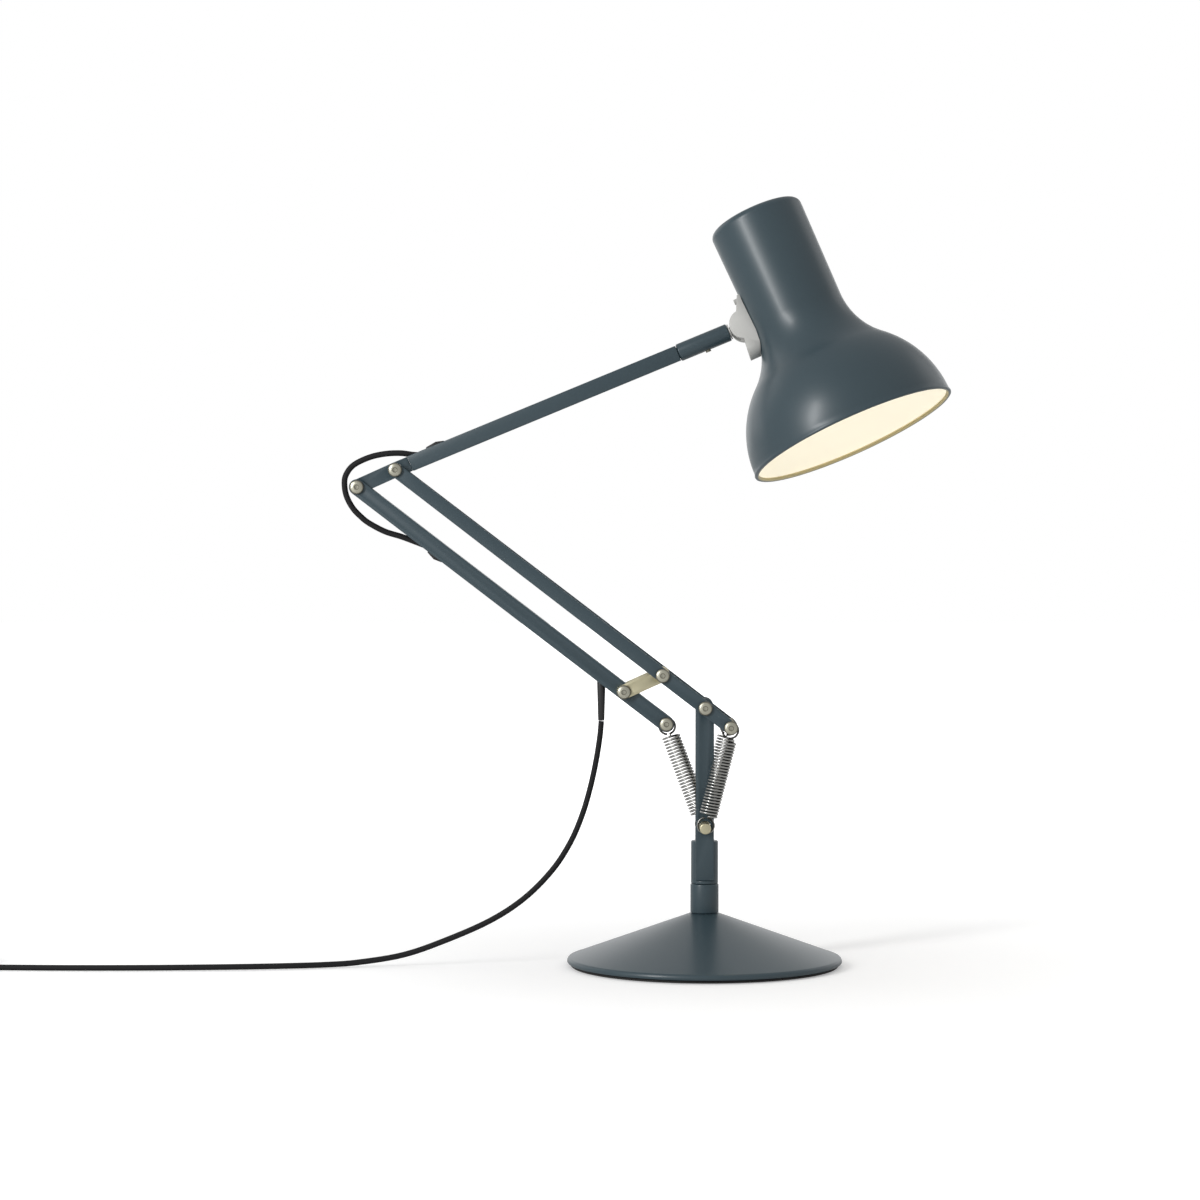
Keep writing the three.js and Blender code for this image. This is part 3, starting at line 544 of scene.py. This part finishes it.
def heads_tree():
    """Puts one fastener at each point, turned by the point's own direction."""
    found = bpy.data.node_groups.get("fasteners")
    if found:
        return found
    tree, source, output = new_tree("fasteners", {"Fastener": "NodeSocketObject", "Scale": "NodeSocketFloat"})
    part = add_node(tree, "GeometryNodeObjectInfo", {"Object": source.outputs["Fastener"]})
    facing = add_node(tree, "GeometryNodeInputNamedAttribute", {"Name": "facing"}, data_type="FLOAT_VECTOR")
    turn = add_node(tree, "FunctionNodeAlignRotationToVector", {"Vector": facing.outputs[0]}, axis="Z")
    placed = add_node(tree, "GeometryNodeInstanceOnPoints",
                      {"Points": source.outputs["Geometry"], "Instance": part.outputs["Geometry"],
                       "Rotation": turn.outputs[0], "Scale": source.outputs["Scale"]})
    real = add_node(tree, "GeometryNodeRealizeInstances", {"Geometry": placed.outputs[0]})
    tree.links.new(real.outputs[0], output.inputs[0])
    return tree


def run_tree(made, tree, **values):
    """Gives an object the tree's modifier with its inputs set, and bakes it."""
    modifier = made.modifiers.new(tree.name, "NODES")
    modifier.node_group = tree
    for item in tree.interface.items_tree:
        if item.in_out == "INPUT" and item.name in values:
            modifier[item.identifier] = values[item.name]
    return baked(made)


def strand(name, points, radius, finish, sides=16):
    mesh = bpy.data.meshes.new(name)
    mesh.from_pydata([tuple(p) for p in points], [(i, i + 1) for i in range(len(points) - 1)], [])
    made = run_tree(new_object(name, mesh), strand_tree(), Radius=radius, Sides=sides, Finish=material(finish))
    build = bmesh.new()
    build.from_mesh(made.data)
    bmesh.ops.recalc_face_normals(build, faces=build.faces)
    build.to_mesh(made.data)
    build.free()
    return made


def rounded(points, steps=6):
    """Smooth line through the points."""
    points = [Vector(p) for p in points]
    ends = [2 * points[0] - points[1], *points, 2 * points[-1] - points[-2]]
    line = []
    for a, b, c, d in zip(ends, ends[1:], ends[2:], ends[3:]):
        for i in range(steps):
            t = i / steps
            line.append(0.5 * (2 * b + (c - a) * t + (2 * a - 5 * b + 4 * c - d) * t ** 2
                               + (3 * b - a - 3 * c + d) * t ** 3))
    return [*line, points[-1]]


def length_of(line):
    return sum((b - a).length for a, b in zip(line, line[1:]))


# ---------- camera ----------
CAMERA_PLACE = (-0.0572, -2.140, 0.2875)
CAMERA_AIM = (-0.0572, 0, 0.2002)
CAMERA_SPREAD = 600 / 3924                           # half the width of the view over its distance


class LAMP_OT_camera(bpy.types.Operator):
    """Set the camera level with the arms, looking slightly down"""
    bl_idname = "lamp.camera"
    bl_label = "Camera"

    def execute(self, context):
        camera = bpy.data.cameras.new("camera")
        camera.angle = 2 * math.atan(CAMERA_SPREAD)
        camera.clip_end = 20
        made = new_object("camera", camera)
        made.location = CAMERA_PLACE
        aim = Vector(CAMERA_AIM) - made.location
        made.rotation_euler = aim.to_track_quat("-Z", "Y").to_euler()
        context.scene.camera = made
        return {"FINISHED"}


# ---------- lead ----------
# Points that the lead passes through, in millimetres: from the rear link to the coil, from the coil to the
# plug, and round the elbow.
CORD_RUN = [(-56.5, 0, 134), (-57.2, 0, 126), (-59.2, 0, 113), (-62.4, 0, 98), (-67, 0, 82.4),
            (-73.6, 0, 67.1), (-83.7, 0, 51.8), (-99, 0, 36.5), (-118, -0.5, 24.2), (-143.4, -1.5, 13.2),
            (-165, -3, 6), (-188, -6, 2.5), (-205, -10, 1.65), (-230, -16, 1.65), (-260, -20, 1.65),
            (-300, -23, 1.65), (-345, -23.5, 1.65), (-385, -21.5, 1.65), (-406.8, -20.4, 1.65)]
CORD_TAIL = [(-444.1, 12, 11.7), (-443.3, 19, 10.4), (-442.2, 25, 8), (-441.3, 30, 6), (-441, 34.2, 5.5)]
ELBOW_LEAD = [(-147, 0, 281.9), (-153, 0, 279.6), (-158.5, 0, 279.4), (-165.8, 0, 280.3),
              (-174.5, 0, 279.9), (-183.2, 0, 277.9), (-191.5, 0, 273.8), (-195.6, 0, 268.6),
              (-196.5, 0, 263.5), (-195.4, 0, 256.9), (-192, 0, 250.4), (-187.6, 0, 245.7),
              (-183.2, 0, 242.2), (-174.5, 0, 237.6), (-165.8, 0, 234.9), (-158.5, 0, 232.2),
              (-152, 0, 229.7)]


COIL_HALF = 26 * MM                                  # from the coil's middle to its sides
COIL_COLUMNS = [24.2, 20.75, 17.3, 13.85]            # radii of the coil's turns, mm
COIL_LAYERS = [1.65, 5.1, 8.55, 12.0]                # heights of the coil's layers, mm
TIE_TURN = math.radians(35)                          # where on the coil the tie sits
TIE_RADIUS = 0.55 * MM
TIE_SECTION = [(11.2, 3), (12.5, 0.8), (25.5, 0.8), (26.8, 3), (26.6, 9), (23.5, 14.6), (18, 14.6), (11.4, 7)]


def in_metres(points):
    return [Vector(p) * MM for p in points]


def coil_centre():
    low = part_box("cord_coil")[0]
    return Vector((low.x + COIL_HALF, low.y + COIL_HALF, 0))


def on_coil(radius, angle, height):
    """A place given in millimetres about the coil's middle."""
    return coil_centre() + Vector((radius * math.cos(angle), radius * math.sin(angle), height)) * MM


def coil_turns(step_turn=24):
    """The spare lead, wound clockwise in layers from the outside in and out again."""
    inwards, outwards = COIL_COLUMNS, COIL_COLUMNS[::-1]
    radii_of_layers = [inwards, outwards, inwards[:2], inwards[1::-1]]
    turns = [(r, z) for z, radii in zip(COIL_LAYERS, radii_of_layers) for r in radii]
    shift = step_turn * 5 // 6                       # from here a turn moves over to the next
    line = []
    for n, (r, z) in enumerate(turns):
        r_next, z_next = turns[min(n + 1, len(turns) - 1)]
        last = n == len(turns) - 1
        for k in range(step_turn * 3 // 4 + 1 if last else step_turn):
            angle = -math.pi / 2 - math.tau * k / step_turn
            t = max(0, (k - shift) / (step_turn - shift))
            ease = t * t * (3 - 2 * t)
            radius, height = r + (r_next - r) * ease, z + (z_next - z) * ease
            line.append(on_coil(radius, angle, height))
    return line


class LAMP_OT_free_lead(bpy.types.Operator):
    """Lay the lead from the rear link to its coil and plug"""
    bl_idname = "lamp.free_lead"
    bl_label = "Free lead"

    def execute(self, context):
        radius = sizes().lead_diameter / 2
        run = rounded(in_metres(CORD_RUN))
        coil = coil_turns()
        line = run + rounded([run[-1], *coil[1:], *in_metres(CORD_TAIL)], 3)[1:]
        lead = strand("free_lead", line, radius, "black_cord", 14)
        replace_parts(lead, "cord_run", "cord_coil")
        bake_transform(lead)
        plug = refined("plug_body", ["plug"], 1.6)
        tie = self.tie()
        return {"FINISHED"}

    def tie(self):
        """Black tie round the wound lead."""
        ring = [on_coil(r, TIE_TURN, z) for r, z in TIE_SECTION]
        made = strand("lead_tie", [*ring, ring[0]], TIE_RADIUS, "black_plastic", 10)
        return fitted(made, "post", "black_plastic")


class LAMP_OT_elbow_lead(bpy.types.Operator):
    """Loop the lead round the elbow, from the upper tube into the rear link"""
    bl_idname = "lamp.elbow_lead"
    bl_label = "Elbow lead"

    def execute(self, context):
        line = rounded(in_metres(ELBOW_LEAD))
        made = strand("elbow_lead", line, sizes().lead_diameter / 2, "black_cord", 16)
        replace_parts(made, "elbow_lead_top", "elbow_lead_foot")
        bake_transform(made)
        return {"FINISHED"}


# ---------- base and post ----------
class LAMP_OT_base(bpy.types.Operator):
    """Turn the pad, the cone-shaped cover and the collar"""
    bl_idname = "lamp.base"
    bl_label = "Base"

    def execute(self, context):
        here = Matrix.Identity(4)
        count = sizes().segments
        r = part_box("base_cover")[1].x
        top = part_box("base_cover")[1].z
        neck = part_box("base_collar")[1].x
        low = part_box("base_cover")[0].z
        slope, wall, hole, rounding = 0.366, 1.2 * MM, 5.3 * MM, 1.9 * MM
        chamfer, lip = 0.6 * MM, 0.5 * MM
        edge = r - rounding
        rim = top - slope * (edge - neck)
        skin = wall * math.hypot(1, slope)           # the wall's thickness measured upright
        shoulder_round = [(edge + (r - edge) * math.sin(a), rim - (r - edge) * 1.05 * (1 - math.cos(a)))
                          for a in (math.radians(k) for k in (15, 35, 55, 75, 90))]
        profile = [(hole, top), (neck, top), (edge, rim), *shoulder_round, (r, low + chamfer),
                   (r - lip, low), (r - wall - chamfer / 2, low), (r - wall, low + chamfer),
                   (r - wall - chamfer, rim - skin), (neck, top - skin), (hole, top - skin)]
        cover = turned("base_shell", profile, count, here, "slate_paint")
        fitted(cover, "base", "slate_paint", "base_cover")
        pad_r, pad_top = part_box("base_pad")[1].x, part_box("base_pad")[1].z
        under, over = 0.4 * MM, 0.3 * MM             # chamfers of the pad
        outline = [(0, 0), (pad_r - under, 0), (pad_r, under), (pad_r, pad_top - over), (pad_r - over, pad_top),
                   (0, pad_top)]
        foot = turned("base_foot", outline, count, here, "foot_rubber")
        fitted(foot, "base", "foot_rubber", "base_pad")
        refined("base_neck", ["base_collar"], 0.35)
        return {"FINISHED"}


class LAMP_OT_post(bpy.types.Operator):
    """Round the edges of the spindle, the two post plates and the spring anchor"""
    bl_idname = "lamp.post"
    bl_label = "Post"

    def execute(self, context):
        refined("post_foot", ["spindle"], 0.4)
        refined("post_front", ["post_plate_front"], 0.25)
        refined("post_back", ["post_plate_back"], 0.25)
        refined("spring_anchor", ["spring_anchor_pin"], 0.2)
        refined("shoulder_tube", ["shoulder_spacer"], 0.15)
        return {"FINISHED"}


# ---------- linkage ----------
class LAMP_OT_arms(bpy.types.Operator):
    """Round the edges of the arms, links, tongue, neck and lead clips"""
    bl_idname = "lamp.arms"
    bl_label = "Arms"

    def execute(self, context):
        for name, node, edge in (
                ("lower_arm_front", "lower_arm_strip_front", 0.3),
                ("lower_arm_back", "lower_arm_strip_back", 0.3),
                ("rear_tube", "rear_link", 0.55), ("upper_tube", "upper_arm_tube", 0.55),
                ("elbow_plate", "elbow_tongue", 0.35), ("neck_tube", "neck_sleeve", 0.3),
                ("cross_front", "cross_link_front", 0.3), ("cross_back", "cross_link_back", 0.3),
                ("lead_wedge_upper", "upper_lead_clip", 0.4), ("lead_wedge_lower", "rear_lead_clip", 0.4),
                ("lead_sleeve", "cord_relief", 0.2)):
            refined(name, [node], edge)
        return {"FINISHED"}


HEAD_DOME = [(3.8, -0.2), (3.8, 0.9), (3.62, 1.25), (3.2, 1.5), (2.5, 1.75), (1.8, 1.89), (1.5, 1.92)]
HEAD_SIDES = 36
SOCKET_FLAT = 1.0                                    # from the socket's middle to its six flats, mm
SOCKET_HEIGHTS = (1.86, 0.8)                         # mouth and foot of the socket's wall, mm
SOCKET_FLOOR = 0.7
# Painted shade: these bands take the dark iron finish to stand for shade and dark reflections round each head
# and its socket.
SHADED_BANDS = (1, 2, 3, len(HEAD_DOME), len(HEAD_DOME) + 1)     # the head's side and the socket's mouth


def button_head():
    """A low domed head with a six-sided socket, facing +Z, seated at the origin."""
    build = bmesh.new()
    turn = [math.tau * k / HEAD_SIDES for k in range(HEAD_SIDES)]

    def ring(radii, z):
        return [build.verts.new((r * math.cos(a) * MM, r * math.sin(a) * MM, z * MM))
                for r, a in zip(radii, turn)]

    rings = [[build.verts.new((0, 0, HEAD_DOME[0][1] * MM))]]
    rings += [ring([r] * HEAD_SIDES, z) for r, z in HEAD_DOME]
    flats = [SOCKET_FLAT / math.cos(a % (math.pi / 3) - math.pi / 6) for a in turn]
    rings += [ring(flats, z) for z in SOCKET_HEIGHTS]
    rings.append([build.verts.new((0, 0, SOCKET_FLOOR * MM))])
    for n, (low, high) in enumerate(zip(rings, rings[1:])):
        for k in range(HEAD_SIDES):
            near = k + 1
            corners = [low[k % len(low)], low[near % len(low)], high[near % len(high)], high[k % len(high)]]
            face = build.faces.new(list(dict.fromkeys(corners)))
            # The shaded bands get the dark finish as painted shade.
            face.material_index = int(n in SHADED_BANDS)
    bmesh.ops.recalc_face_normals(build, faces=build.faces)
    return smooth(from_bmesh("button_head", build, "pin_steel", "dark_iron"), 32)


class LAMP_OT_pins(bpy.types.Operator):
    """Set a button-headed pin through every pivot of the linkage"""
    bl_idname = "lamp.pins"
    bl_label = "Pivot pins"

    groups = {
        "lower_arm": ["shoulder_pin", "cross_front_pin", "elbow_pin", "spring_stud_front", "spring_stud_back"],
        "rear_link": ["lever_pin", "cross_rear_pin", "rear_spring_pin"],
    }
    head_height = 2.2 * MM

    def execute(self, context):
        head = button_head()
        for body, nodes in self.groups.items():
            self.heads(body, nodes, head)
            for node in nodes:
                self.shank(node, body)
        bpy.data.objects.remove(head)
        return {"FINISHED"}

    def heads(self, body, nodes, head):
        seats = []
        for node in nodes:
            low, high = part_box(node)
            centre = middle(node)
            for side, y in ((-1, low.y), (1, high.y)):
                if node.endswith("front") and side > 0 or node.endswith("back") and side < 0:
                    continue
                seats.append((Vector((centre.x, y - side * self.head_height, centre.z)), Vector((0, side, 0))))
        mesh = bpy.data.meshes.new(f"{body}_heads")
        mesh.from_pydata([tuple(p) for p, _ in seats], [], [])
        facing = mesh.attributes.new("facing", "FLOAT_VECTOR", "POINT")
        for item, (_, side) in zip(facing.data, seats):
            item.vector = side
        made = run_tree(new_object(f"{body}_heads", mesh), heads_tree(), Fastener=head, Scale=1.0)
        fitted(made, body, "bright_steel")

    def shank(self, node, body):
        """The plain part of a pin between its heads, and the flange that keeps a spring's loop on."""
        low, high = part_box(node)
        centre = middle(node)
        r, inside = 2 * MM, 2 * MM                   # the shank's radius, and how far it starts inside a head
        start, end = low.y + inside, high.y - inside
        ends = [(0, start), (r, start)], [(r, end), (0, end)]
        flange, lip, slant = 3.05 * MM, 1 * MM, 0.2 * MM
        if node.endswith("front"):
            end = high.y
            ends = ends[0], [(r, end - lip - slant), (flange, end - lip), (flange, end), (0, end)]
        elif node.endswith("back"):
            start = low.y
            ends = [(0, start), (flange, start), (flange, start + lip), (r, start + lip + slant)], ends[1]
        between = []
        if node == "cross_front_pin":
            wide, half = 3.6 * MM, 4.3 * MM
            between = [(r, -half), (wide, -half), (wide, half), (r, half)]
        profile = [*ends[0], *between, *ends[1]]
        place = Matrix.Translation((centre.x, 0, centre.z)) @ Matrix.Rotation(-math.pi / 2, 4, "X")
        made = turned(f"{node}_shank", profile, 32, place, "bright_steel")
        fitted(made, body, "bright_steel", node)


# ---------- springs ----------
SPRING_SEAT = 3 * MM                                 # middle of a pin to the wire that hangs on it
SPRING_GAP = 1.1 * MM                                # end loop to the first turn of the coil
LOOP_TURN = 340                                      # how far round an end loop goes, in degrees
SPRING_STEPS = 20                                    # points on a loop and on each turn


def spring_line(foot, top, side):
    """Centre of the wire in two lengths: the loop round the anchor with the lower half of the coil,
    and the upper half with the loop round the stud."""
    s = sizes()
    mean, loop = s.spring_radius - s.spring_wire / 2, s.loop_radius
    length = (top - foot).length
    slack = loop - SPRING_SEAT
    low, high = slack, length - slack
    reach = loop + SPRING_GAP
    start, end = low + reach, high - reach
    turns, count = s.spring_turns, SPRING_STEPS
    points = []
    for k in range(count + 1):
        a = math.radians(-180 - LOOP_TURN * (1 - k / count))
        points.append(Vector((loop * math.sin(a), 0, low - loop * math.cos(a))))
    for k in range(turns * count + 1):
        a = math.tau * k / count
        z = start + (end - start) * k / (turns * count)
        points.append(Vector((mean * math.sin(a), -mean * math.cos(a), z)))
    for k in range(count + 1):
        a = math.radians(LOOP_TURN * k / count)
        points.append(Vector((loop * math.sin(a), 0, high - loop * math.cos(a))))
    axis = (top - foot).normalized()
    across = Vector((axis.z, 0, -axis.x))
    turn = Matrix((across, Vector((0, 1, 0)), axis)).transposed()
    line = [foot + Vector((0, side, 0)) + turn @ p for p in points]
    half = count + 1 + turns // 2 * count
    return line[:half + 1], line[half:]


class LAMP_OT_springs(bpy.types.Operator):
    """Wind the three springs between the anchor pin and their studs"""
    bl_idname = "lamp.springs"
    bl_label = "Springs"

    def execute(self, context):
        stud, rear = middle("spring_stud_front"), middle("rear_spring_pin")
        front_top, rear_top = Vector((stud.x, 0, stud.z)), Vector((rear.x, 0, rear.z))
        for name in ("front", "back"):
            low, high = spring_line(ANCHOR, front_top, middle(f"{name}_spring_coil").y)
            made = self.wound(f"spring_{name}", low + high[1:],
                              f"{name}_spring_coil", f"{name}_spring_hook")
            self.stretches(made, "front_springs", "front_spring_hooks", front_top, 0.15, 0.85)
        low, high = spring_line(ANCHOR, rear_top, 0)
        self.stretches(self.wound("spring_rear_low", low, "rear_spring_lower"),
                       "rear_spring", "rear_spring_middle", rear_top, 0.15, 0.5)
        self.stretches(self.wound("spring_rear_high", high, "rear_spring_upper", "rear_spring_hook"),
                       "rear_spring_middle", "rear_spring_top", rear_top, 0.5, 0.85)
        return {"FINISHED"}

    def wound(self, name, line, *nodes):
        """One spring's wire, which notes how far each side faces away from the middle of its bend, to place the
        painted shade inside the coils.
        """
        made = strand(name, line, sizes().spring_wire / 2, "spring_wire", 12)
        finder = KDTree(len(line))
        for k, place in enumerate(line):
            finder.insert(place, k)
        finder.balance()
        outward = made.data.attributes.new("outward", "FLOAT", "POINT")
        for item, vertex in zip(outward.data, made.data.vertices):
            k = min(max(finder.find(vertex.co)[1], 1), len(line) - 2)
            bend = 2 * line[k] - line[k - 1] - line[k + 1]
            item.value = 0.5 + 0.5 * (vertex.co - line[k]).normalized().dot(bend.normalized())
        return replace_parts(made, *nodes)

    def stretches(self, made, low_body, high_body, top, start, end):
        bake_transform(made)


# ---------- head ----------
def head_place():
    """From the shade's own axes, with its mouth at the origin, to the lamp's."""
    s = sizes()
    arm = TILT - ELBOW
    arm_angle = math.atan2(arm.z, arm.x)
    return (Matrix.Translation(TILT) @ Matrix.Rotation(-arm_angle, 4, "Y")
            @ Matrix.Rotation(s.head_swivel, 4, "X") @ Matrix.Rotation(arm_angle - s.shade_lean, 4, "Y")
            @ Matrix.Translation((s.pivot_out, 0, -s.pivot_up)))


def shade_curve(grow, dome_steps=26, fillet_steps=18):
    """Outside of the shade moved by grow: dome, then the hollow curve into the neck."""
    s = sizes()
    reach = s.fillet_radius + s.neck_low
    up = s.dome_rise + math.sqrt((s.dome_radius + s.fillet_radius) ** 2 - reach ** 2)
    meet = math.degrees(math.atan2(up - s.dome_rise, reach))
    first = -math.degrees(math.asin(s.dome_rise / s.dome_radius))
    dome = arc(0, s.dome_rise, s.dome_radius + grow, first, meet, dome_steps)
    hollow = arc(reach, up, s.fillet_radius - grow, 180 + meet, 180, fillet_steps)
    return dome + hollow[1:]


# The shade's rim, in millimetres out from the dome and up from the mouth: inner roll, then outer bead.
RIM_ROLL = [(-1.3, 1.5), (-1.9, 1.2), (-2.0, 0.7), (-1.6, 0.4), (-1.8, 0.1), (-1.6, -0.35)]
RIM_BEAD = [(-1.0, -0.6), (-0.2, -0.6), (0.35, -0.25), (0.5, 0.3), (0.3, 0.9)]


class LAMP_OT_shade(bpy.types.Operator):
    """Spin the bell shade, painted outside and enamelled white inside"""
    bl_idname = "lamp.shade"
    bl_label = "Shade"

    def execute(self, context):
        s = sizes()
        outside, inside = shade_curve(0), shade_curve(-s.shade_wall)
        top, edge, neck, wall = s.shade_top, s.shade_edge, s.neck_high, s.shade_wall
        hole, roll_top = 4.3 * MM, 1.6 * MM
        round_top = arc(neck - edge, top - edge, edge, 0, 90, 8)
        under_top = arc(neck - edge, top - edge, edge - wall, 90, 0, 6)
        roll, bead = ([(s.dome_radius + r * MM, z * MM) for r, z in line] for line in (RIM_ROLL, RIM_BEAD))
        profile = [*roll, *bead, *outside[1:], *round_top, (hole, top), (hole, top - wall), *under_top,
                   *(p for p in inside[:0:-1] if p[1] > roll_top)]
        first_inside = len(roll) + len(bead) + len(outside) - 1 + len(round_top) + 1
        paint, enamel, rim = 0, 1, 2                 # order of the finishes given below
        # The rim zone takes the darker enamel, painted as shade on the turned-in rim.
        zone = ([rim] * len(roll) + [paint] * (first_inside - len(roll))
                + [enamel] * (len(profile) - first_inside))
        made = turned("bell_shade", profile, s.segments, head_place(), "slate_paint", "shade_enamel",
                      "rim_enamel", zones=zone)
        fitted(made, "head", "slate_paint", "shade")
        return {"FINISHED"}


class LAMP_OT_head_parts(bpy.types.Operator):
    """Finish the bracket, knuckle, lamp holder, bulb and switch"""
    bl_idname = "lamp.head_parts"
    bl_label = "Head parts"

    def execute(self, context):
        self.squared(refined("bracket", ["shade_bracket"], 0.45, 35))
        refined("knuckle_eye", ["knuckle"], 0.2)
        refined("hinge_pin", ["tilt_pin"], 0.15)
        refined("push_switch", ["switch_button"], 0.2)
        refined("socket_body", ["lamp_holder"], 0.3)
        radius, neck, centre, foot = 20 * MM, 7 * MM, 64 * MM, 118.5 * MM
        globe = arc(0, centre, radius, -90, math.degrees(math.acos(neck / radius)), 30)
        outline = [(0, centre - radius), *globe[1:], (neck, foot), (0, foot)]
        bulb = turned("globe_bulb", outline, 64, head_place(), "bulb_glass")
        fitted(bulb, "head", "bulb_glass", "bulb")
        return {"FINISHED"}

    def squared(self, bracket):
        """Squares the round end of the bracket's upper ear, and thickens it away from the shade."""
        top, half, margin = 98 * MM, 6.3 * MM, 0.6 * MM
        rise, fall = 0.3 * MM, 3.2 * MM              # at the middle of the end, and from there to its sides
        face, swell = -27.6 * MM, 0.8 * MM
        there = head_place()
        back = there.inverted()
        for vertex in bracket.data.vertices:
            place = back @ vertex.co
            edge = top - half + math.sqrt(max(0, half ** 2 - place.y ** 2))
            if place.z > edge - margin:
                place.z = top + rise - fall * min(1, abs(place.y) / half) ** 3
                if place.x < face:
                    place.x -= swell
                vertex.co = there @ place


# ---------- stage ----------
AREA_LIGHTS = (                                      # name, place, width and height, power in watts
    ("strip", (-1.40, -1.42, 0.92), (0.32, 1.05), 23),
    ("left", (-1.9, 1.4, 1.0), (1.2, 1.6), 4),
    ("right", (1.8, 1.4, 1.1), (1.2, 1.6), 3),
    ("back", (0, 2.4, 0.55), (3.4, 1.0), 8),
)
AREA_AIM = (-0.05, 0, 0.2)
BULB_PLACE, BULB_POWER, BULB_SPREAD = (0, 0, 0.028), 0.03, 0.015
FLOOR_HALF, FLOOR_DROP = 4, -0.0004
WHITE = (1, 1, 1)


class LAMP_OT_stage(bpy.types.Operator):
    """Light the lamp softly on a pale floor"""
    bl_idname = "lamp.stage"
    bl_label = "Stage"

    def execute(self, context):
        self.floor()
        self.world()
        for light in AREA_LIGHTS:
            self.area(*light)
        inside = bpy.data.lights.new("bulb_light", "POINT")
        inside.energy, inside.color, inside.shadow_soft_size = BULB_POWER, colours().glow, BULB_SPREAD
        lamp = new_object("bulb_light", inside)
        lamp.location = head_place() @ Vector(BULB_PLACE)
        return {"FINISHED"}

    def floor(self):
        """A pale floor that fades to white away from the lamp, where the camera sees it."""
        half, z = FLOOR_HALF, FLOOR_DROP
        mesh = bpy.data.meshes.new("floor")
        mesh.from_pydata([(-half, -half, z), (half, -half, z), (half, half, z), (-half, half, z)], [],
                         [(0, 1, 2, 3)])
        floor = new_object("floor", mesh)
        finish = Finish("floor")
        light = finish.value("ShaderNodeLightPath", {}, {}, "Is Camera Ray")
        away = finish.value("ShaderNodeVectorMath", {"operation": "LENGTH"}, {"Vector": finish.place}, "Value")
        fade = finish.value("ShaderNodeMapRange", {}, {"Value": away, "From Min": 0.10, "From Max": 1.0,
                                                       "To Min": 0.30, "To Max": 1.0})
        mottle = finish.noise(6, 2)
        floor.data.materials.append(finish.surface(
            Base_Color=finish.blend(mottle, (0.80, 0.80, 0.80), (0.82, 0.82, 0.82)), Roughness=0.9,
            Emission_Color=finish.blend(light * fade, (0, 0, 0), WHITE), Emission_Strength=1.0,
            Specular_IOR_Level=0.1))

    def world(self):
        """Plain white to the camera, and a softer white as light."""
        world = bpy.data.worlds.new("studio")
        bpy.context.scene.world = world
        world.use_nodes = True
        tree = world.node_tree
        tree.nodes.clear()
        path = tree.nodes.new("ShaderNodeLightPath")
        both = tree.nodes.new("ShaderNodeMath")
        both.operation, both.use_clamp = "ADD", True
        tree.links.new(path.outputs["Is Camera Ray"], both.inputs[0])
        tree.links.new(path.outputs["Is Transmission Ray"], both.inputs[1])
        soft, plain = tree.nodes.new("ShaderNodeBackground"), tree.nodes.new("ShaderNodeBackground")
        for sky, strength in ((soft, 0.52), (plain, 1.0)):
            sky.inputs["Color"].default_value, sky.inputs["Strength"].default_value = (*WHITE, 1), strength
        mix, out = tree.nodes.new("ShaderNodeMixShader"), tree.nodes.new("ShaderNodeOutputWorld")
        tree.links.new(both.outputs[0], mix.inputs[0])
        tree.links.new(soft.outputs[0], mix.inputs[1])
        tree.links.new(plain.outputs[0], mix.inputs[2])
        tree.links.new(mix.outputs[0], out.inputs["Surface"])
        bpy.context.scene.view_settings.view_transform = "Standard"

    def area(self, name, place, size, energy):
        light = bpy.data.lights.new(name, "AREA")
        light.shape = "RECTANGLE"
        light.energy, (light.size, light.size_y) = energy, size
        made = new_object(name, light)
        made.location = place
        aim = Vector(AREA_AIM) - made.location
        made.rotation_euler = aim.to_track_quat("-Z", "Y").to_euler()


# ---------- finishes of the CAD pieces that stay ----------
class LAMP_OT_finish_rest(bpy.types.Operator):
    """Give every remaining CAD piece the finish of its slot, and the bracket's screws the bracket's"""
    bl_idname = "lamp.finish_rest"
    bl_label = "Other finishes"

    def execute(self, context):
        for name, made in frame["nodes"].items():
            if made.hide_render:
                continue
            made.data.materials.clear()
            finish = "cast_alloy" if name.startswith("bracket_screw") else slot_of(name)
            made.data.materials.append(material(finish))
        return {"FINISHED"}


class LAMP_PT_panel(bpy.types.Panel):
    """Lists the lamp's sizes, colours and build steps"""
    bl_label = "Desk lamp"
    bl_idname = "LAMP_PT_panel"
    bl_space_type = "VIEW_3D"
    bl_region_type = "UI"
    bl_category = "Lamp"

    def draw(self, context):
        for group in (context.scene.lamp_sizes, context.scene.lamp_finish):
            for name in group.__annotations__:
                self.layout.prop(group, name)
        for step in STEPS:
            self.layout.operator(step.bl_idname)


STEPS = (LAMP_OT_camera, LAMP_OT_free_lead, LAMP_OT_elbow_lead, LAMP_OT_base, LAMP_OT_post, LAMP_OT_arms,
         LAMP_OT_pins, LAMP_OT_springs, LAMP_OT_shade, LAMP_OT_head_parts, LAMP_OT_finish_rest, LAMP_OT_stage)
CLASSES = (LampFinish, LampSizes, *STEPS, LAMP_PT_panel)


def register():
    for cls in CLASSES:
        bpy.utils.register_class(cls)
    bpy.types.Scene.lamp_finish = PointerProperty(type=LampFinish)
    bpy.types.Scene.lamp_sizes = PointerProperty(type=LampSizes)


def unregister():
    del bpy.types.Scene.lamp_sizes
    del bpy.types.Scene.lamp_finish
    for cls in reversed(CLASSES):
        bpy.utils.unregister_class(cls)


def main():
    register()
    for step in STEPS:
        group, name = step.bl_idname.split(".")
        getattr(getattr(bpy.ops, group), name)()


if __name__ == "__main__":
    main()
